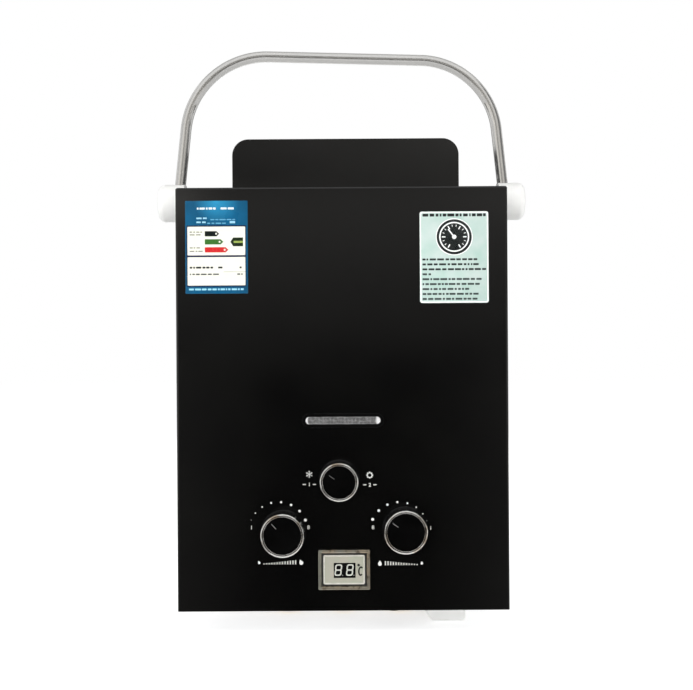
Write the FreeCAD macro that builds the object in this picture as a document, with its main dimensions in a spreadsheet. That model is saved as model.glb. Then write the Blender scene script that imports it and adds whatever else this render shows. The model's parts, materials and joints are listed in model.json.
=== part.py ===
import FreeCAD, Part
import Sketcher
import math
import os
import re

# Portable propane water heater, in millimetres.
#
# Frame: X to the right seen from the front, Y from the front panel towards the wall, Z up.
# The origin is the bottom centre of the back plate's rear face, so the wall is the plane Y = 0
# and the front panel lies at Y = -case_depth.

# ----------------------------------------------------------------------------------------
# Driving dimensions, one named cell each
# ----------------------------------------------------------------------------------------
SIZES = {
    # sheet-metal case
    "case_width": 290,
    "case_depth": 130,
    "case_height": 370,
    "sheet_gauge": 1,
    "corner_radius": 2,
    "flange_width": 12,
    # rain cap over the exhaust
    "cap_side_gap": 43.5,
    "cap_height": 46.7,
    "cap_depth": 75,
    "cap_setback": 25,
    "cap_shift": 3.9,
    "cap_corner": 14.5,
    "cap_slot_height": 5,
    "cap_slot_pitch": 9,
    "cap_slot_rise": 10.8,
    "cap_slot_rows": 3,
    "cap_slot_inset": 21.75,
    # exhaust opening and its grille
    "outlet_end_border": 21.5,
    "outlet_side_border": 8.5,
    "grille_margin": 5,
    "grille_slot_width": 4,
    "grille_slot_pitch": 10,
    # handle
    "tube_diameter": 10,
    "tube_wall": 1,
    "pivot_drop": 5,
    "pivot_depth": 65,
    "leg_offset": 7.2,
    "left_lean": 14.7,
    "right_lean": 13.7,
    "left_rise": 138.8,
    "right_rise": 130.6,
    "left_bend": 75.6,
    "right_bend": 72.9,
    "socket_diameter": 34.6,
    "socket_width": 24.5,
    "socket_rounding": 6,
    "socket_floor": 4.5,
    "washer_thickness": 0.5,
    "washer_diameter": 24,
    "pivot_screw_diameter": 5,
    "pivot_hole_gap": 0.3,
    "pivot_head_diameter": 9.5,
    "pivot_head_height": 2.7,
    "pivot_head_room": 0.3,
    "pivot_nut_diameter": 7.8,
    "pivot_nut_height": 3,
    "pivot_cap_diameter": 13,
    "pivot_cap_thickness": 2,
    "pivot_cap_dome": 1,
    "pivot_cap_gap": 0.2,
    "bracket_gauge": 2,
    "bracket_height": 17,
    "bracket_foot": 20,
    "bracket_top_gap": 0.5,
    # flame window
    "window_width": 66.7,
    "window_height": 7.7,
    "window_rise": 166,
    "window_shift": 0.3,
    "window_rim_wall": 0.8,
    "window_rim_proud": 0.4,
    "window_flange": 2.5,
    "window_mesh_gauge": 0.4,
    # knobs: their places on the panel and their sizes
    "gas_knob_inset": 93,
    "gas_knob_z": 69.4,
    "water_knob_inset": 91.5,
    "water_knob_z": 71.6,
    "season_knob_x": -3.3,
    "season_knob_z": 114.7,
    "large_knob_diameter": 37.6,
    "small_knob_diameter": 33.4,
    "knob_height": 21,
    "knob_gap": 1,
    "knob_skirt_height": 3,
    "knob_skirt_step": 0.9,
    "knob_ring_width": 1.9,
    "knob_ring_height": 2.4,
    "knob_ring_proud": 0.3,
    "knob_face_recess": 0.8,
    "knob_pointer_width": 1.2,
    "knob_pointer_length": 6,
    "knob_pointer_depth": 0.5,
    "knob_pointer_inset": 3,
    "gas_pointer_angle": 132,
    "water_pointer_angle": 145,
    "season_pointer_angle": 145,
    "knob_groove_radius": 0.7,
    "shaft_diameter": 6,
    "shaft_grip": 9,
    "shaft_engagement": 18,
    "season_engagement": 8,
    "shaft_hole_gap": 1.5,
    "running_clearance": 0.05,
    "overcut": 1,
    # temperature display
    "display_x": 0.5,
    "display_z": 36.2,
    "display_width": 45,
    "display_height": 34.4,
    "display_frame": 3,
    "display_proud": 3.2,
    "display_sleeve_depth": 18,
    "display_gap": 1.4,
    "lcd_thickness": 2.4,
    "lcd_recess": 1,
    "board_depth": 10,
    "board_gap": 0.2,
    # stickers on the front panel
    "sticker_thickness": 0.15,
    "left_sticker_inset": 36,
    "left_sticker_drop": 52.2,
    "left_sticker_width": 54.5,
    "left_sticker_height": 81,
    "right_sticker_inset": 46.8,
    "right_sticker_drop": 62.2,
    "right_sticker_width": 61,
    "right_sticker_height": 81.7,
    # burner
    "burner_side_gap": 60,
    "burner_rear_gap": 28,
    "burner_bottom": 108,
    "burner_plate_gauge": 1.2,
    "blade_count": 8,
    "blade_side_gap": 6.6,
    "blade_thickness": 9,
    "blade_bottom": 124,
    "blade_height": 28,
    "blade_slot_width": 3,
    "blade_slot_depth": 5,
    "mixing_tube_diameter": 10,
    "mixing_tube_bore": 7,
    "mixing_tube_length": 24,
    "mixing_tube_floor": 3,
    "blade_rail_height": 3,
    "blade_rail_depth": 5,
    # gas manifold and its nozzles
    "valve_setback": 18,
    "manifold_width": 12,
    "manifold_height": 16,
    "nozzle_diameter": 5,
    "nozzle_bore": 1.4,
    "nozzle_length": 6,
    "nozzle_air_gap": 1.2,
    # heat exchanger
    "exchanger_bottom": 168,
    "exchanger_height": 148,
    "exchanger_front_gap": 18,
    "copper_gauge": 0.8,
    "water_tube_diameter": 9,
    "water_tube_wall": 0.8,
    "water_tube_bend": 12,
    "coil_clearance": 0.4,
    "coil_low": 200,
    "coil_high": 240,
    "pass_height": 294,
    "pass_pitch": 25,
    "pass_overrun": 12,
    "pass_hole_gap": 0.2,
    "coil_start_shift": 5,
    "coil_start_rise": 42,
    "coil_exit_rise": 22,
    "cold_pipe_rise": 12,
    "hot_pipe_shift": 4,
    "hot_pipe_drop": 24,
    "fin_count": 25,
    "fin_end_gap": 12.2,
    "fin_gauge": 0.5,
    "fin_bottom": 274,
    "fin_side_gap": 0.5,
    "fin_hole_gap": 0.1,
    "strap_width": 14,
    "strap_inset": 28,
    "strap_gauge": 1.5,
    "strap_height": 12,
    # gas valve
    "gas_valve_width": 60,
    "casting_radius": 4,
    "valve_bottom": 46,
    "gas_valve_height": 48,
    "valve_rear": 34,
    "solenoid_diameter": 24,
    "solenoid_length": 26,
    "gas_riser_diameter": 10,
    "gas_riser_offset": 14,
    # water valve
    "water_valve_width": 35,
    "water_valve_height": 52,
    "chamber_diameter": 54,
    "chamber_rear_gap": 9,
    "chamber_rim": 6,
    "well_floor": 1,
    "chamber_flange": 6,
    "chamber_cover_depth": 11,
    "chamber_wall": 3,
    "diaphragm_thickness": 1,
    "piston_diameter": 28,
    "piston_thickness": 2,
    "piston_gap": 0.4,
    "rod_diameter": 4,
    "rod_engagement": 4,
    "rod_travel": 3,
    "rod_collar_diameter": 10,
    "rod_collar_width": 2,
    "switch_gap": 1,
    "switch_width": 16,
    "switch_depth": 10,
    "switch_height": 16,
    # threaded fittings below the case (G 1/2)
    "thread_diameter": 20.955,
    "thread_relief_depth": 1,
    "thread_relief_height": 1.5,
    "fitting_reach": 20,
    "fitting_bore": 13,
    "fitting_bore_floor": 3,
    "fitting_chamfer": 1,
    "fitting_depth": 45,
    "fitting_hole_gap": 0.4,
    "collar_diameter": 27,
    "collar_height": 7,
    "neck_diameter": 18,
    "outlet_neck": 4,
    "hot_outlet_x": 0,
    "hot_pipe_level": 28,
    "drain_diameter": 10,
    "drain_knob_diameter": 13,
    "drain_offset": 8.5,
    "drain_depth": 90,
    "drain_reach": 9,
    # battery compartment
    "battery_diameter": 33.2,
    "battery_height": 58,
    "battery_nub_diameter": 9.5,
    "battery_nub_height": 1.5,
    "battery_gap": 0.3,
    "box_side_gap": 34,
    "box_width": 37,
    "box_rear": 13,
    "box_depth": 72,
    "box_wall": 1.5,
    "box_top": 58,
    "box_drop": 4,
    "box_flange": 3.5,
    "door_drop": 21,
    "door_gap": 0.3,
    "door_slant": 7,
    "door_slant_height": 9.4,
    "door_corner": 3,
    "hinge_pin_diameter": 2,
    "hinge_knuckle_diameter": 5,
    "hinge_offset": 2.6,
    "hinge_knuckle_length": 14,
    "hinge_arm_gap": 0.3,
    "hinge_leaf_root": 1,
    "contact_gauge": 0.5,
    "contact_spring_diameter": 8,
    "contact_spring_room": 1,
    "contact_lift": 0.5,
    # electrical box and electrodes
    "igniter_width": 26,
    "igniter_depth": 34,
    "igniter_height": 80,
    "igniter_inset": 20,
    "igniter_z": 165,
    "electrode_diameter": 6,
    "electrode_height": 28,
    "electrode_tip_diameter": 1.6,
    "electrode_tip_length": 14,
    "electrode_x": 24,
    # holes in the back plate and fasteners
    "keyhole_spacing": 160,
    "keyhole_drop": 40,
    "keyhole_diameter": 12,
    "keyhole_slot_width": 6,
    "keyhole_slot_rise": 10,
    "wall_hole_spacing": 160,
    "wall_hole_rise": 24,
    "wall_hole_diameter": 6,
    "vent_length": 26,
    "vent_width": 4,
    "vent_pitch": 9,
    "vent_count": 6,
    "vent_rise": 60,
    "screw_diameter": 4,
    "screw_head_diameter": 7.5,
    "screw_head_height": 2.4,
    "screw_low": 40,
    "screw_drop": 50,
    "screw_length": 6,
}

doc = FreeCAD.newDocument("water_heater")
sheet = doc.addObject("Spreadsheet::Sheet", "Sizes")
for row, (alias, number) in enumerate(SIZES.items(), start=1):
    sheet.set("A%d" % row, alias)
    sheet.set("B%d" % row, str(number))
    sheet.setAlias("B%d" % row, alias)
doc.recompute()

X = FreeCAD.Vector(1, 0, 0)
Y = FreeCAD.Vector(0, 1, 0)
Z = FreeCAD.Vector(0, 0, 1)
AXES = {"x": X, "y": Y, "z": Z}
NODES = {}


# ----------------------------------------------------------------------------------------
# Helpers: expressions on the sheet, primitives, booleans
# ----------------------------------------------------------------------------------------
def in_sheet(expression):
    """Write a size's bare name as a reference to its cell."""
    return re.sub(r"[a-z][a-z0-9_]*",
                  lambda word: "Sizes." + word.group(0) if word.group(0) in SIZES else word.group(0),
                  str(expression))


def size(expression):
    """The number that an expression of sizes has now."""
    return float(sheet.evalExpression(in_sheet(expression)))


def bind(thing, prop, expression):
    thing.setExpression(prop, in_sheet(expression))


def between(centre, width):
    """The pair of ends of a width about a centre."""
    return ("(%s) - (%s)/2" % (centre, width), "(%s) + (%s)/2" % (centre, width))


def beside(side, inner, outer):
    """The pair of ends, low first, of a stretch on the right (side 1) or the left (side -1)."""
    if side > 0:
        return (inner, outer)
    return ("-(%s)" % outer, "-(%s)" % inner)


def box(x, y, z, name="block"):
    """A block between three (low, high) pairs of expressions."""
    block = doc.addObject("Part::Box", name)
    for edge, axis, (low, high) in zip(("Length", "Width", "Height"), "xyz", (x, y, z)):
        bind(block, edge, "(%s) - (%s)" % (high, low))
        bind(block, "Placement.Base." + axis, low)
    return block


def rod(diameter, axis, low, high, first, second, name="rod"):
    """A cylinder along an axis from low to high; first and second are its centre's other two
    coordinates in X, Y, Z order."""
    cylinder = doc.addObject("Part::Cylinder", name)
    cylinder.Placement = FreeCAD.Placement(FreeCAD.Vector(), FreeCAD.Rotation(Z, AXES[axis]))
    bind(cylinder, "Radius", "(%s)/2" % diameter)
    bind(cylinder, "Height", "(%s) - (%s)" % (high, low))
    others = [letter for letter in "xyz" if letter != axis]
    for letter, place in zip([axis] + others, (low, first, second)):
        bind(cylinder, "Placement.Base." + letter, place)
    return cylinder


def cone(low_diameter, high_diameter, axis, low, high, first, second):
    """A frustum along an axis, as rod."""
    frustum = doc.addObject("Part::Cone", "cone")
    frustum.Placement = FreeCAD.Placement(FreeCAD.Vector(), FreeCAD.Rotation(Z, AXES[axis]))
    bind(frustum, "Radius1", "(%s)/2" % low_diameter)
    bind(frustum, "Radius2", "(%s)/2" % high_diameter)
    bind(frustum, "Height", "(%s) - (%s)" % (high, low))
    others = [letter for letter in "xyz" if letter != axis]
    for letter, place in zip([axis] + others, (low, first, second)):
        bind(frustum, "Placement.Base." + letter, place)
    return frustum


def fuse(*solids):
    joined = doc.addObject("Part::MultiFuse", "joined")
    joined.Shapes = list(solids)
    joined.Refine = True
    return joined


def cut(solid, *tools):
    remaining = doc.addObject("Part::Cut", "remaining")
    remaining.Base = solid
    remaining.Tool = tools[0] if len(tools) == 1 else fuse(*tools)
    remaining.Refine = True
    return remaining


def group(*solids):
    """Separate solids that share one node."""
    together = doc.addObject("Part::Compound", "group")
    together.Links = list(solids)
    return together


def rounded(solid, radius, chosen):
    """Round the edges of a solid for which chosen(edge) is true, to a radius from the sheet."""
    doc.recompute()
    radius_now = size(radius)
    result = doc.addObject("Part::Fillet", "rounded")
    result.Base = solid
    result.Edges = [(index, radius_now, radius_now)
                    for index, edge in enumerate(solid.Shape.Edges, start=1) if chosen(edge)]
    return result


def runs_along(edge, axis):
    """True for a straight edge parallel to an axis."""
    if edge.Curve.TypeId != "Part::GeomLine":
        return False
    return abs(abs(edge.Curve.Direction.dot(AXES[axis])) - 1) < 1e-6


def slot(width, height, y, x_centre, z_centre):
    """A bar along Y whose section is an upright rectangle with half-round left and right ends."""
    straight = "(%s) - (%s)" % (width, height)
    bar = box(between(x_centre, straight), y, between(z_centre, height))
    ends = [rod(height, "y", y[0], y[1], end, z_centre) for end in between(x_centre, straight)]
    return fuse(bar, *ends)


def rounded_wire(points, bend):
    """Straight runs between points, joined by tangent arcs of the bend radius. An arc is smaller
    where its shorter run can't hold it. bend is one radius, or one for each inner point."""
    edges = []
    start = points[0]
    for index in range(1, len(points) - 1):
        corner = points[index]
        back = (points[index - 1] - corner)
        ahead = (points[index + 1] - corner)
        half_turn = (math.pi - back.getAngle(ahead)) / 2
        radius = bend[index - 1] if isinstance(bend, (list, tuple)) else bend
        reach = min(radius * math.tan(half_turn), 0.49 * back.Length, 0.49 * ahead.Length)
        radius = reach / math.tan(half_turn)
        first = corner + FreeCAD.Vector(back).normalize() * reach
        last = corner + FreeCAD.Vector(ahead).normalize() * reach
        inward = (FreeCAD.Vector(back).normalize() + FreeCAD.Vector(ahead).normalize()).normalize()
        middle = corner + inward * (radius / math.cos(half_turn) - radius)
        edges.append(Part.LineSegment(start, first).toShape())
        edges.append(Part.Arc(first, middle, last).toShape())
        start = last
    edges.append(Part.LineSegment(start, points[-1]).toShape())
    return Part.Wire(edges)


def swept_rod(diameter, spine, start, direction):
    """A round section carried along a spine."""
    section = doc.addObject("Part::Circle", "section")
    section.Placement = FreeCAD.Placement(start, FreeCAD.Rotation(Z, direction))
    bind(section, "Radius", "(%s)/2" % diameter)
    sweep = doc.addObject("Part::Sweep", "sweep")
    sweep.Sections = [section]
    sweep.Spine = (spine, [])
    sweep.Solid = True
    sweep.Frenet = False
    return sweep


def pipe(diameter, wall, places, bend):
    """A round tube through points, each a triple of expressions."""
    points = [FreeCAD.Vector(*[size(number) for number in place]) for place in places]
    spine = doc.addObject("Part::Feature", "pipe_path")
    spine.Shape = rounded_wire(points, bend)
    direction = points[1] - points[0]
    outside = swept_rod(diameter, spine, points[0], direction)
    inside = swept_rod("(%s) - 2*(%s)" % (diameter, wall), spine, points[0], direction)
    return cut(outside, inside)


def node(name, solid):
    """Name a finished sub-part, which names its file too."""
    solid.Label = name
    NODES[name] = solid
    return solid


# ----------------------------------------------------------------------------------------
# Shared faces and axes, as expressions of the sizes
# ----------------------------------------------------------------------------------------
FRONT = "-case_depth"
FRONT_INSIDE = "(-case_depth + sheet_gauge)"
SIDE = "case_width/2"
SIDE_INSIDE = "(case_width/2 - sheet_gauge)"
TOP_INSIDE = "(case_height - sheet_gauge)"
PLATE_FACE = "-sheet_gauge"
FLANGE_INSIDE = "(case_width/2 - 2*sheet_gauge)"
PIVOT_Z = "(case_height - pivot_drop)"
PIVOT_Y = "-pivot_depth"
CAP_FRONT = "(-case_depth + cap_setback)"
CAP_REAR = "(-case_depth + cap_setback + cap_depth)"
OUTLET_Y = "(-case_depth + cap_setback + cap_depth/2)"
CAP_WIDTH = "(case_width - 2*cap_side_gap)"
OUTLET_WIDTH = "(case_width - 2*cap_side_gap - 2*outlet_end_border)"
OUTLET_DEPTH = "(cap_depth - 2*outlet_side_border)"
GAS_X = "(gas_knob_inset - case_width/2)"
WATER_X = "(case_width/2 - water_knob_inset)"
BURNER_HALF = "(case_width/2 - burner_side_gap)"
BURNER_REAR = "-burner_rear_gap"
SHELL_FRONT = "(-case_depth + exchanger_front_gap)"
SHELL_Y = "((-case_depth + exchanger_front_gap - burner_rear_gap)/2)"
SHELL_TOP = "(exchanger_bottom + exchanger_height)"
VALVE_FRONT = "(-case_depth + valve_setback)"
MANIFOLD_REAR = "(-case_depth + valve_setback + manifold_width)"
NOZZLE_TIP = "(-case_depth + valve_setback + manifold_width + nozzle_length)"
MIXER_FRONT = "(-case_depth + valve_setback + manifold_width + nozzle_length + nozzle_air_gap)"
BLADE_REAR = "(-burner_rear_gap - burner_plate_gauge)"
FITTING_Y = "-fitting_depth"
VALVE_AXIS_Y = "(-valve_rear - chamber_diameter/2 - chamber_rear_gap)"
GAS_VALVE_LEFT = "(gas_knob_inset - case_width/2 - gas_valve_width/2)"
GAS_VALVE_RIGHT = "(gas_knob_inset - case_width/2 + gas_valve_width/2)"
WATER_VALVE_LEFT = "(case_width/2 - water_knob_inset - water_valve_width/2)"
WATER_VALVE_RIGHT = "(case_width/2 - water_knob_inset + water_valve_width/2)"
BOX_LEFT = "(case_width/2 - box_side_gap - box_width)"
BOX_RIGHT = "(case_width/2 - box_side_gap)"
BOX_X = "(case_width/2 - box_side_gap - box_width/2)"
BOX_FRONT = "(-box_rear - box_depth)"
SHAFT_HOLE = "(shaft_diameter + 2*shaft_hole_gap)"
SCREW_Y = "-(sheet_gauge + flange_width/2)"
SCREW_HIGH = "(case_height - screw_drop)"
KEYHOLE_Z = "(case_height - keyhole_drop)"
COIL_SIDE = "(case_width/2 - burner_side_gap + water_tube_diameter/2 + coil_clearance)"
COIL_FRONT = "(-case_depth + exchanger_front_gap - water_tube_diameter/2 - coil_clearance)"
COIL_REAR = "(-burner_rear_gap + water_tube_diameter/2 + coil_clearance)"
OUTLET_NECK_TOP = "(sheet_gauge + collar_height + outlet_neck)"
RISER_Y = "(-case_depth + valve_setback + manifold_width/2)"
FIN_PITCH = "((case_width - 2*burner_side_gap - 2*copper_gauge - 2*fin_end_gap)/(fin_count - 1))"
SIDES = {"left": -1, "right": 1}


# ----------------------------------------------------------------------------------------
# Case
# ----------------------------------------------------------------------------------------
def make_back_plate():
    """Flat sheet against the wall, with side flanges that the front cover is screwed to."""
    wall = box(between(0, "case_width"), (PLATE_FACE, 0), (0, "case_height"))
    flanges = [box(beside(side, FLANGE_INSIDE, SIDE_INSIDE),
                   ("-sheet_gauge - flange_width", PLATE_FACE),
                   ("flange_width + 3*sheet_gauge", TOP_INSIDE))
               for side in SIDES.values()]
    through = ("-2*sheet_gauge", "sheet_gauge")
    holes = []
    for x in between(0, "keyhole_spacing"):
        holes.append(rod("keyhole_diameter", "y", through[0], through[1], x, KEYHOLE_Z))
        slot_top = "%s + keyhole_slot_rise" % KEYHOLE_Z
        holes.append(box(between(x, "keyhole_slot_width"), through, (KEYHOLE_Z, slot_top)))
        holes.append(rod("keyhole_slot_width", "y", through[0], through[1], x, slot_top))
    for x in between(0, "wall_hole_spacing"):
        holes.append(rod("wall_hole_diameter", "y", through[0], through[1], x, "wall_hole_rise"))
    for row in range(int(size("vent_count"))):
        z = "vent_rise + %d*vent_pitch" % row
        for x in ("-vent_length", "vent_length"):
            holes.append(slot("vent_length", "vent_width", through, x, z))
    for side in SIDES.values():
        for z in ("screw_low", SCREW_HIGH):
            low, high = beside(side, "case_width/2 - 3*sheet_gauge", SIDE)
            holes.append(rod("screw_diameter", "x", low, high, SCREW_Y, z))
    node("back_plate", cut(fuse(wall, *flanges), *holes))


def make_front_cover():
    """Folded sheet box, open at the back and the bottom, with the panel's openings."""
    outside = box(between(0, "case_width"), (FRONT, PLATE_FACE), (0, "case_height"))

    def outer_bend(edge):
        middle = edge.CenterOfMass
        at_front = abs(middle.y - size(FRONT)) < 1e-6
        at_side = abs(abs(middle.x) - size(SIDE)) < 1e-6
        at_top = abs(middle.z - size("case_height")) < 1e-6
        return (at_front and (at_side or at_top)) or (at_top and at_side)
    bent = rounded(outside, "corner_radius", outer_bend)
    inside = box(between(0, "case_width - 2*sheet_gauge"), (FRONT_INSIDE, 0),
                 ("-sheet_gauge", TOP_INSIDE))
    openings = [inside]
    wall = ("-case_depth - sheet_gauge", "-case_depth + 2*sheet_gauge")
    openings.append(slot("window_width", "window_height", wall, "window_shift", "window_rise"))
    for x, z in ((GAS_X, "gas_knob_z"), (WATER_X, "water_knob_z"),
                 ("season_knob_x", "season_knob_z")):
        openings.append(rod(SHAFT_HOLE, "y", wall[0], wall[1], x, z))
    openings.append(box(between("display_x", "display_width - 2*display_gap"), wall,
                        between("display_z", "display_height - 2*display_gap")))
    openings.append(box(between("cap_shift", OUTLET_WIDTH), between(OUTLET_Y, OUTLET_DEPTH),
                        ("case_height - 2*sheet_gauge", "case_height + sheet_gauge")))
    for side in SIDES.values():
        low, high = beside(side, "case_width/2 - 2*sheet_gauge", "case_width/2 + sheet_gauge")
        openings.append(rod("pivot_screw_diameter + 2*pivot_hole_gap", "x", low, high, PIVOT_Y,
                            PIVOT_Z))
        for z in ("screw_low", SCREW_HIGH):
            openings.append(rod("screw_diameter", "x", low, high, SCREW_Y, z))
        for row in range(int(size("vent_count"))):
            z = "vent_rise + %d*vent_pitch" % row
            openings.append(box((low, high), between("-case_depth/2", "vent_length"),
                                between(z, "vent_width")))
    for x, y in cap_screw_places():
        openings.append(rod("screw_diameter", "z", "case_height - 2*sheet_gauge",
                            "case_height + sheet_gauge", x, y))
    node("front_cover", cut(bent, *openings))


def cap_screw_places():
    """The rain cap's four screws, on the flanges at its two ends."""
    places = []
    for x in between("cap_shift", "%s - 2*sheet_gauge - flange_width" % CAP_WIDTH):
        for y in between(OUTLET_Y, "cap_depth - 2*flange_width"):
            places.append((x, y))
    return places


def make_bottom_pan():
    """Sheet floor with turned-up edges and the holes that the fittings pass through."""
    x = between(0, "2*(%s)" % SIDE_INSIDE)
    y = (FRONT_INSIDE, PLATE_FACE)
    tray = box(x, y, (0, "flange_width"))
    hollow = box(between(0, "2*(%s)" % FLANGE_INSIDE),
                 ("-case_depth + 2*sheet_gauge", "-2*sheet_gauge"),
                 ("sheet_gauge", "2*flange_width"))
    holes = [rod("thread_diameter + 2*fitting_hole_gap", "z", "-sheet_gauge", "2*sheet_gauge",
                 fitting_x, FITTING_Y)
             for fitting_x in (GAS_X, "hot_outlet_x", WATER_X)]
    holes.append(rod("drain_knob_diameter + 2*fitting_hole_gap", "z", "-sheet_gauge",
                     "2*sheet_gauge", "%s - drain_offset" % WATER_X, "-drain_depth"))
    holes.append(box(("%s - door_gap" % BOX_LEFT, "%s + door_gap" % BOX_RIGHT),
                     ("%s - door_gap" % BOX_FRONT, "-box_rear + door_gap"),
                     ("-sheet_gauge", "2*sheet_gauge")))
    node("bottom_pan", cut(tray, hollow, *holes))


def make_rain_cap():
    """Hood over the exhaust opening: a round-shouldered shell with slots at the back and ends."""
    low, high = between("cap_shift", CAP_WIDTH)
    outside = box((low, high), (CAP_FRONT, CAP_REAR), ("case_height", "case_height + cap_height"))
    middle = size("case_height + cap_height/2")

    def shoulder(edge):
        return runs_along(edge, "y") and edge.CenterOfMass.z > middle
    hollow = box(("%s + sheet_gauge" % low, "%s - sheet_gauge" % high),
                 ("%s + sheet_gauge" % CAP_FRONT, "%s - sheet_gauge" % CAP_REAR),
                 ("case_height - sheet_gauge", "case_height + cap_height - sheet_gauge"))
    shell = cut(rounded(outside, "cap_corner", shoulder),
                rounded(hollow, "cap_corner - sheet_gauge", shoulder))
    feet = [box((low, "%s + flange_width" % low), (CAP_FRONT, CAP_REAR),
                ("case_height", "case_height + sheet_gauge")),
            box(("%s - flange_width" % high, high), (CAP_FRONT, CAP_REAR),
                ("case_height", "case_height + sheet_gauge"))]
    slots = []
    for row in range(int(size("cap_slot_rows"))):
        z = "case_height + cap_slot_rise + %d*cap_slot_pitch" % row
        slots.append(slot("%s - 2*cap_slot_inset" % CAP_WIDTH, "cap_slot_height",
                          ("%s - 2*sheet_gauge" % CAP_REAR, "%s + sheet_gauge" % CAP_REAR),
                          "cap_shift", z))
        slots.append(box(("%s - sheet_gauge" % low, "%s + sheet_gauge" % high),
                         between(OUTLET_Y, "cap_depth - 2*flange_width"),
                         between(z, "cap_slot_height")))
    for x, y in cap_screw_places():
        slots.append(rod("screw_diameter", "z", "case_height - sheet_gauge",
                         "case_height + 2*sheet_gauge", x, y))
    node("rain_cap", cut(fuse(shell, *feet), *slots))


def make_exhaust_grille():
    """Slotted plate that lies on the case top between the rain cap's feet."""
    width = "(%s + 2*grille_margin)" % OUTLET_WIDTH
    depth = "(%s + 2*grille_margin)" % OUTLET_DEPTH
    plate = box(between("cap_shift", width), between(OUTLET_Y, depth),
                ("case_height", "case_height + sheet_gauge"))
    count = int(size("(%s - grille_slot_width)/grille_slot_pitch" % OUTLET_WIDTH))
    slots = [box(between("cap_shift + %g*grille_slot_pitch" % (index - (count - 1) / 2),
                         "grille_slot_width"),
                 between(OUTLET_Y, "%s - 2*grille_margin" % OUTLET_DEPTH),
                 ("case_height - sheet_gauge", "case_height + 2*sheet_gauge"))
             for index in range(count)]
    node("exhaust_grille", cut(plate, *slots))


def make_exhaust_hood():
    """Tapered collector from the top of the heat exchanger to the case's exhaust opening."""
    def wedge(inset):
        shape = doc.addObject("Part::Wedge", "taper")
        shape.Placement = FreeCAD.Placement(FreeCAD.Vector(), FreeCAD.Rotation(X, 90))
        # the wedge's own Y runs up after the turn, and its own Z runs towards the front
        bind(shape, "Ymin", SHELL_TOP)
        bind(shape, "Ymax", TOP_INSIDE)
        bind(shape, "Xmin", "-%s + %s" % (BURNER_HALF, inset))
        bind(shape, "Xmax", "%s - %s" % (BURNER_HALF, inset))
        bind(shape, "X2min", "cap_shift - %s/2 + %s" % (OUTLET_WIDTH, inset))
        bind(shape, "X2max", "cap_shift + %s/2 - %s" % (OUTLET_WIDTH, inset))
        bind(shape, "Zmin", "burner_rear_gap + %s" % inset)
        bind(shape, "Zmax", "-%s - %s" % (SHELL_FRONT, inset))
        bind(shape, "Z2min", "-%s - %s/2 + %s" % (OUTLET_Y, OUTLET_DEPTH, inset))
        bind(shape, "Z2max", "-%s + %s/2 - %s" % (OUTLET_Y, OUTLET_DEPTH, inset))
        return shape
    node("exhaust_hood", cut(wedge("0"), wedge("copper_gauge")))


def make_case_screws():
    """Four screws through the cover's sides, and four from under the top into the cap's feet."""
    screws = []
    for side in SIDES.values():
        for z in ("screw_low", SCREW_HIGH):
            low, high = beside(side, SIDE, "case_width/2 + screw_head_height")
            head = rod("screw_head_diameter", "x", low, high, SCREW_Y, z)
            low, high = beside(side, "case_width/2 - screw_length", SIDE)
            screws.append(fuse(head, rod("screw_diameter", "x", low, high, SCREW_Y, z)))
    for x, y in cap_screw_places():
        head = rod("screw_head_diameter", "z", "%s - screw_head_height" % TOP_INSIDE, TOP_INSIDE,
                   x, y)
        shank = rod("screw_diameter", "z", TOP_INSIDE, "case_height + 2*sheet_gauge", x, y)
        screws.append(fuse(head, shank))
    node("case_screws", group(*screws))


# ----------------------------------------------------------------------------------------
# Handle
# ----------------------------------------------------------------------------------------
LEG_X = "(case_width/2 + leg_offset)"
SOCKET_INNER = "(case_width/2 + washer_thickness)"
SOCKET_OUTER = "(case_width/2 + washer_thickness + socket_width)"


def leg_direction(side):
    """Unit vector up the centre line of one leg."""
    name = "left" if side < 0 else "right"
    return FreeCAD.Vector(-side * size(name + "_lean"), 0, size(name + "_rise")).normalize()


def leg_end(side):
    """Where one leg's centre line ends in its socket, above the pivot screw."""
    foot = FreeCAD.Vector(side * size(LEG_X), size(PIVOT_Y), size(PIVOT_Z))
    return foot + leg_direction(side) * size("socket_floor")


def make_handle_tube():
    """Bent stainless tube: two legs that lean inwards and a bar across the top."""
    corners = [leg_end(-1),
               FreeCAD.Vector(-size("%s - left_lean" % LEG_X), size(PIVOT_Y),
                              size("%s + left_rise" % PIVOT_Z)),
               FreeCAD.Vector(size("%s - right_lean" % LEG_X), size(PIVOT_Y),
                              size("%s + right_rise" % PIVOT_Z)),
               leg_end(1)]
    spine = doc.addObject("Part::Feature", "handle_path")
    spine.Shape = rounded_wire(corners, [size("left_bend"), size("right_bend")])
    outside = swept_rod("tube_diameter", spine, corners[0], leg_direction(-1))
    inside = swept_rod("tube_diameter - 2*tube_wall", spine, corners[0], leg_direction(-1))
    node("handle_tube", cut(outside, inside))


def new_body(name):
    """A PartDesign body, and its origin's planes and axes by role."""
    body = doc.addObject("PartDesign::Body", name)
    return body, {feature.Role: feature for feature in body.Origin.OriginFeatures}


def outline_sketch(body, plane, outline):
    """A closed outline of straight lines on a plane, each corner tied to its two expressions."""
    drawing = body.newObject("Sketcher::SketchObject", body.Name + "_outline")
    drawing.AttachmentSupport = (plane, [""])
    drawing.MapMode = "FlatFace"
    corners = [FreeCAD.Vector(size(first), size(second), 0) for first, second in outline]
    count = len(corners)
    for index in range(count):
        drawing.addGeometry(Part.LineSegment(corners[index], corners[(index + 1) % count]), False)
    for index in range(count):
        drawing.addConstraint(Sketcher.Constraint("Coincident", index, 2, (index + 1) % count, 1))
    for index, (first, second) in enumerate(outline):
        for kind, text in (("DistanceX", first), ("DistanceY", second)):
            tie(drawing, Sketcher.Constraint(kind, -1, 1, index, 1, size(text)), text)
    return drawing


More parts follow.
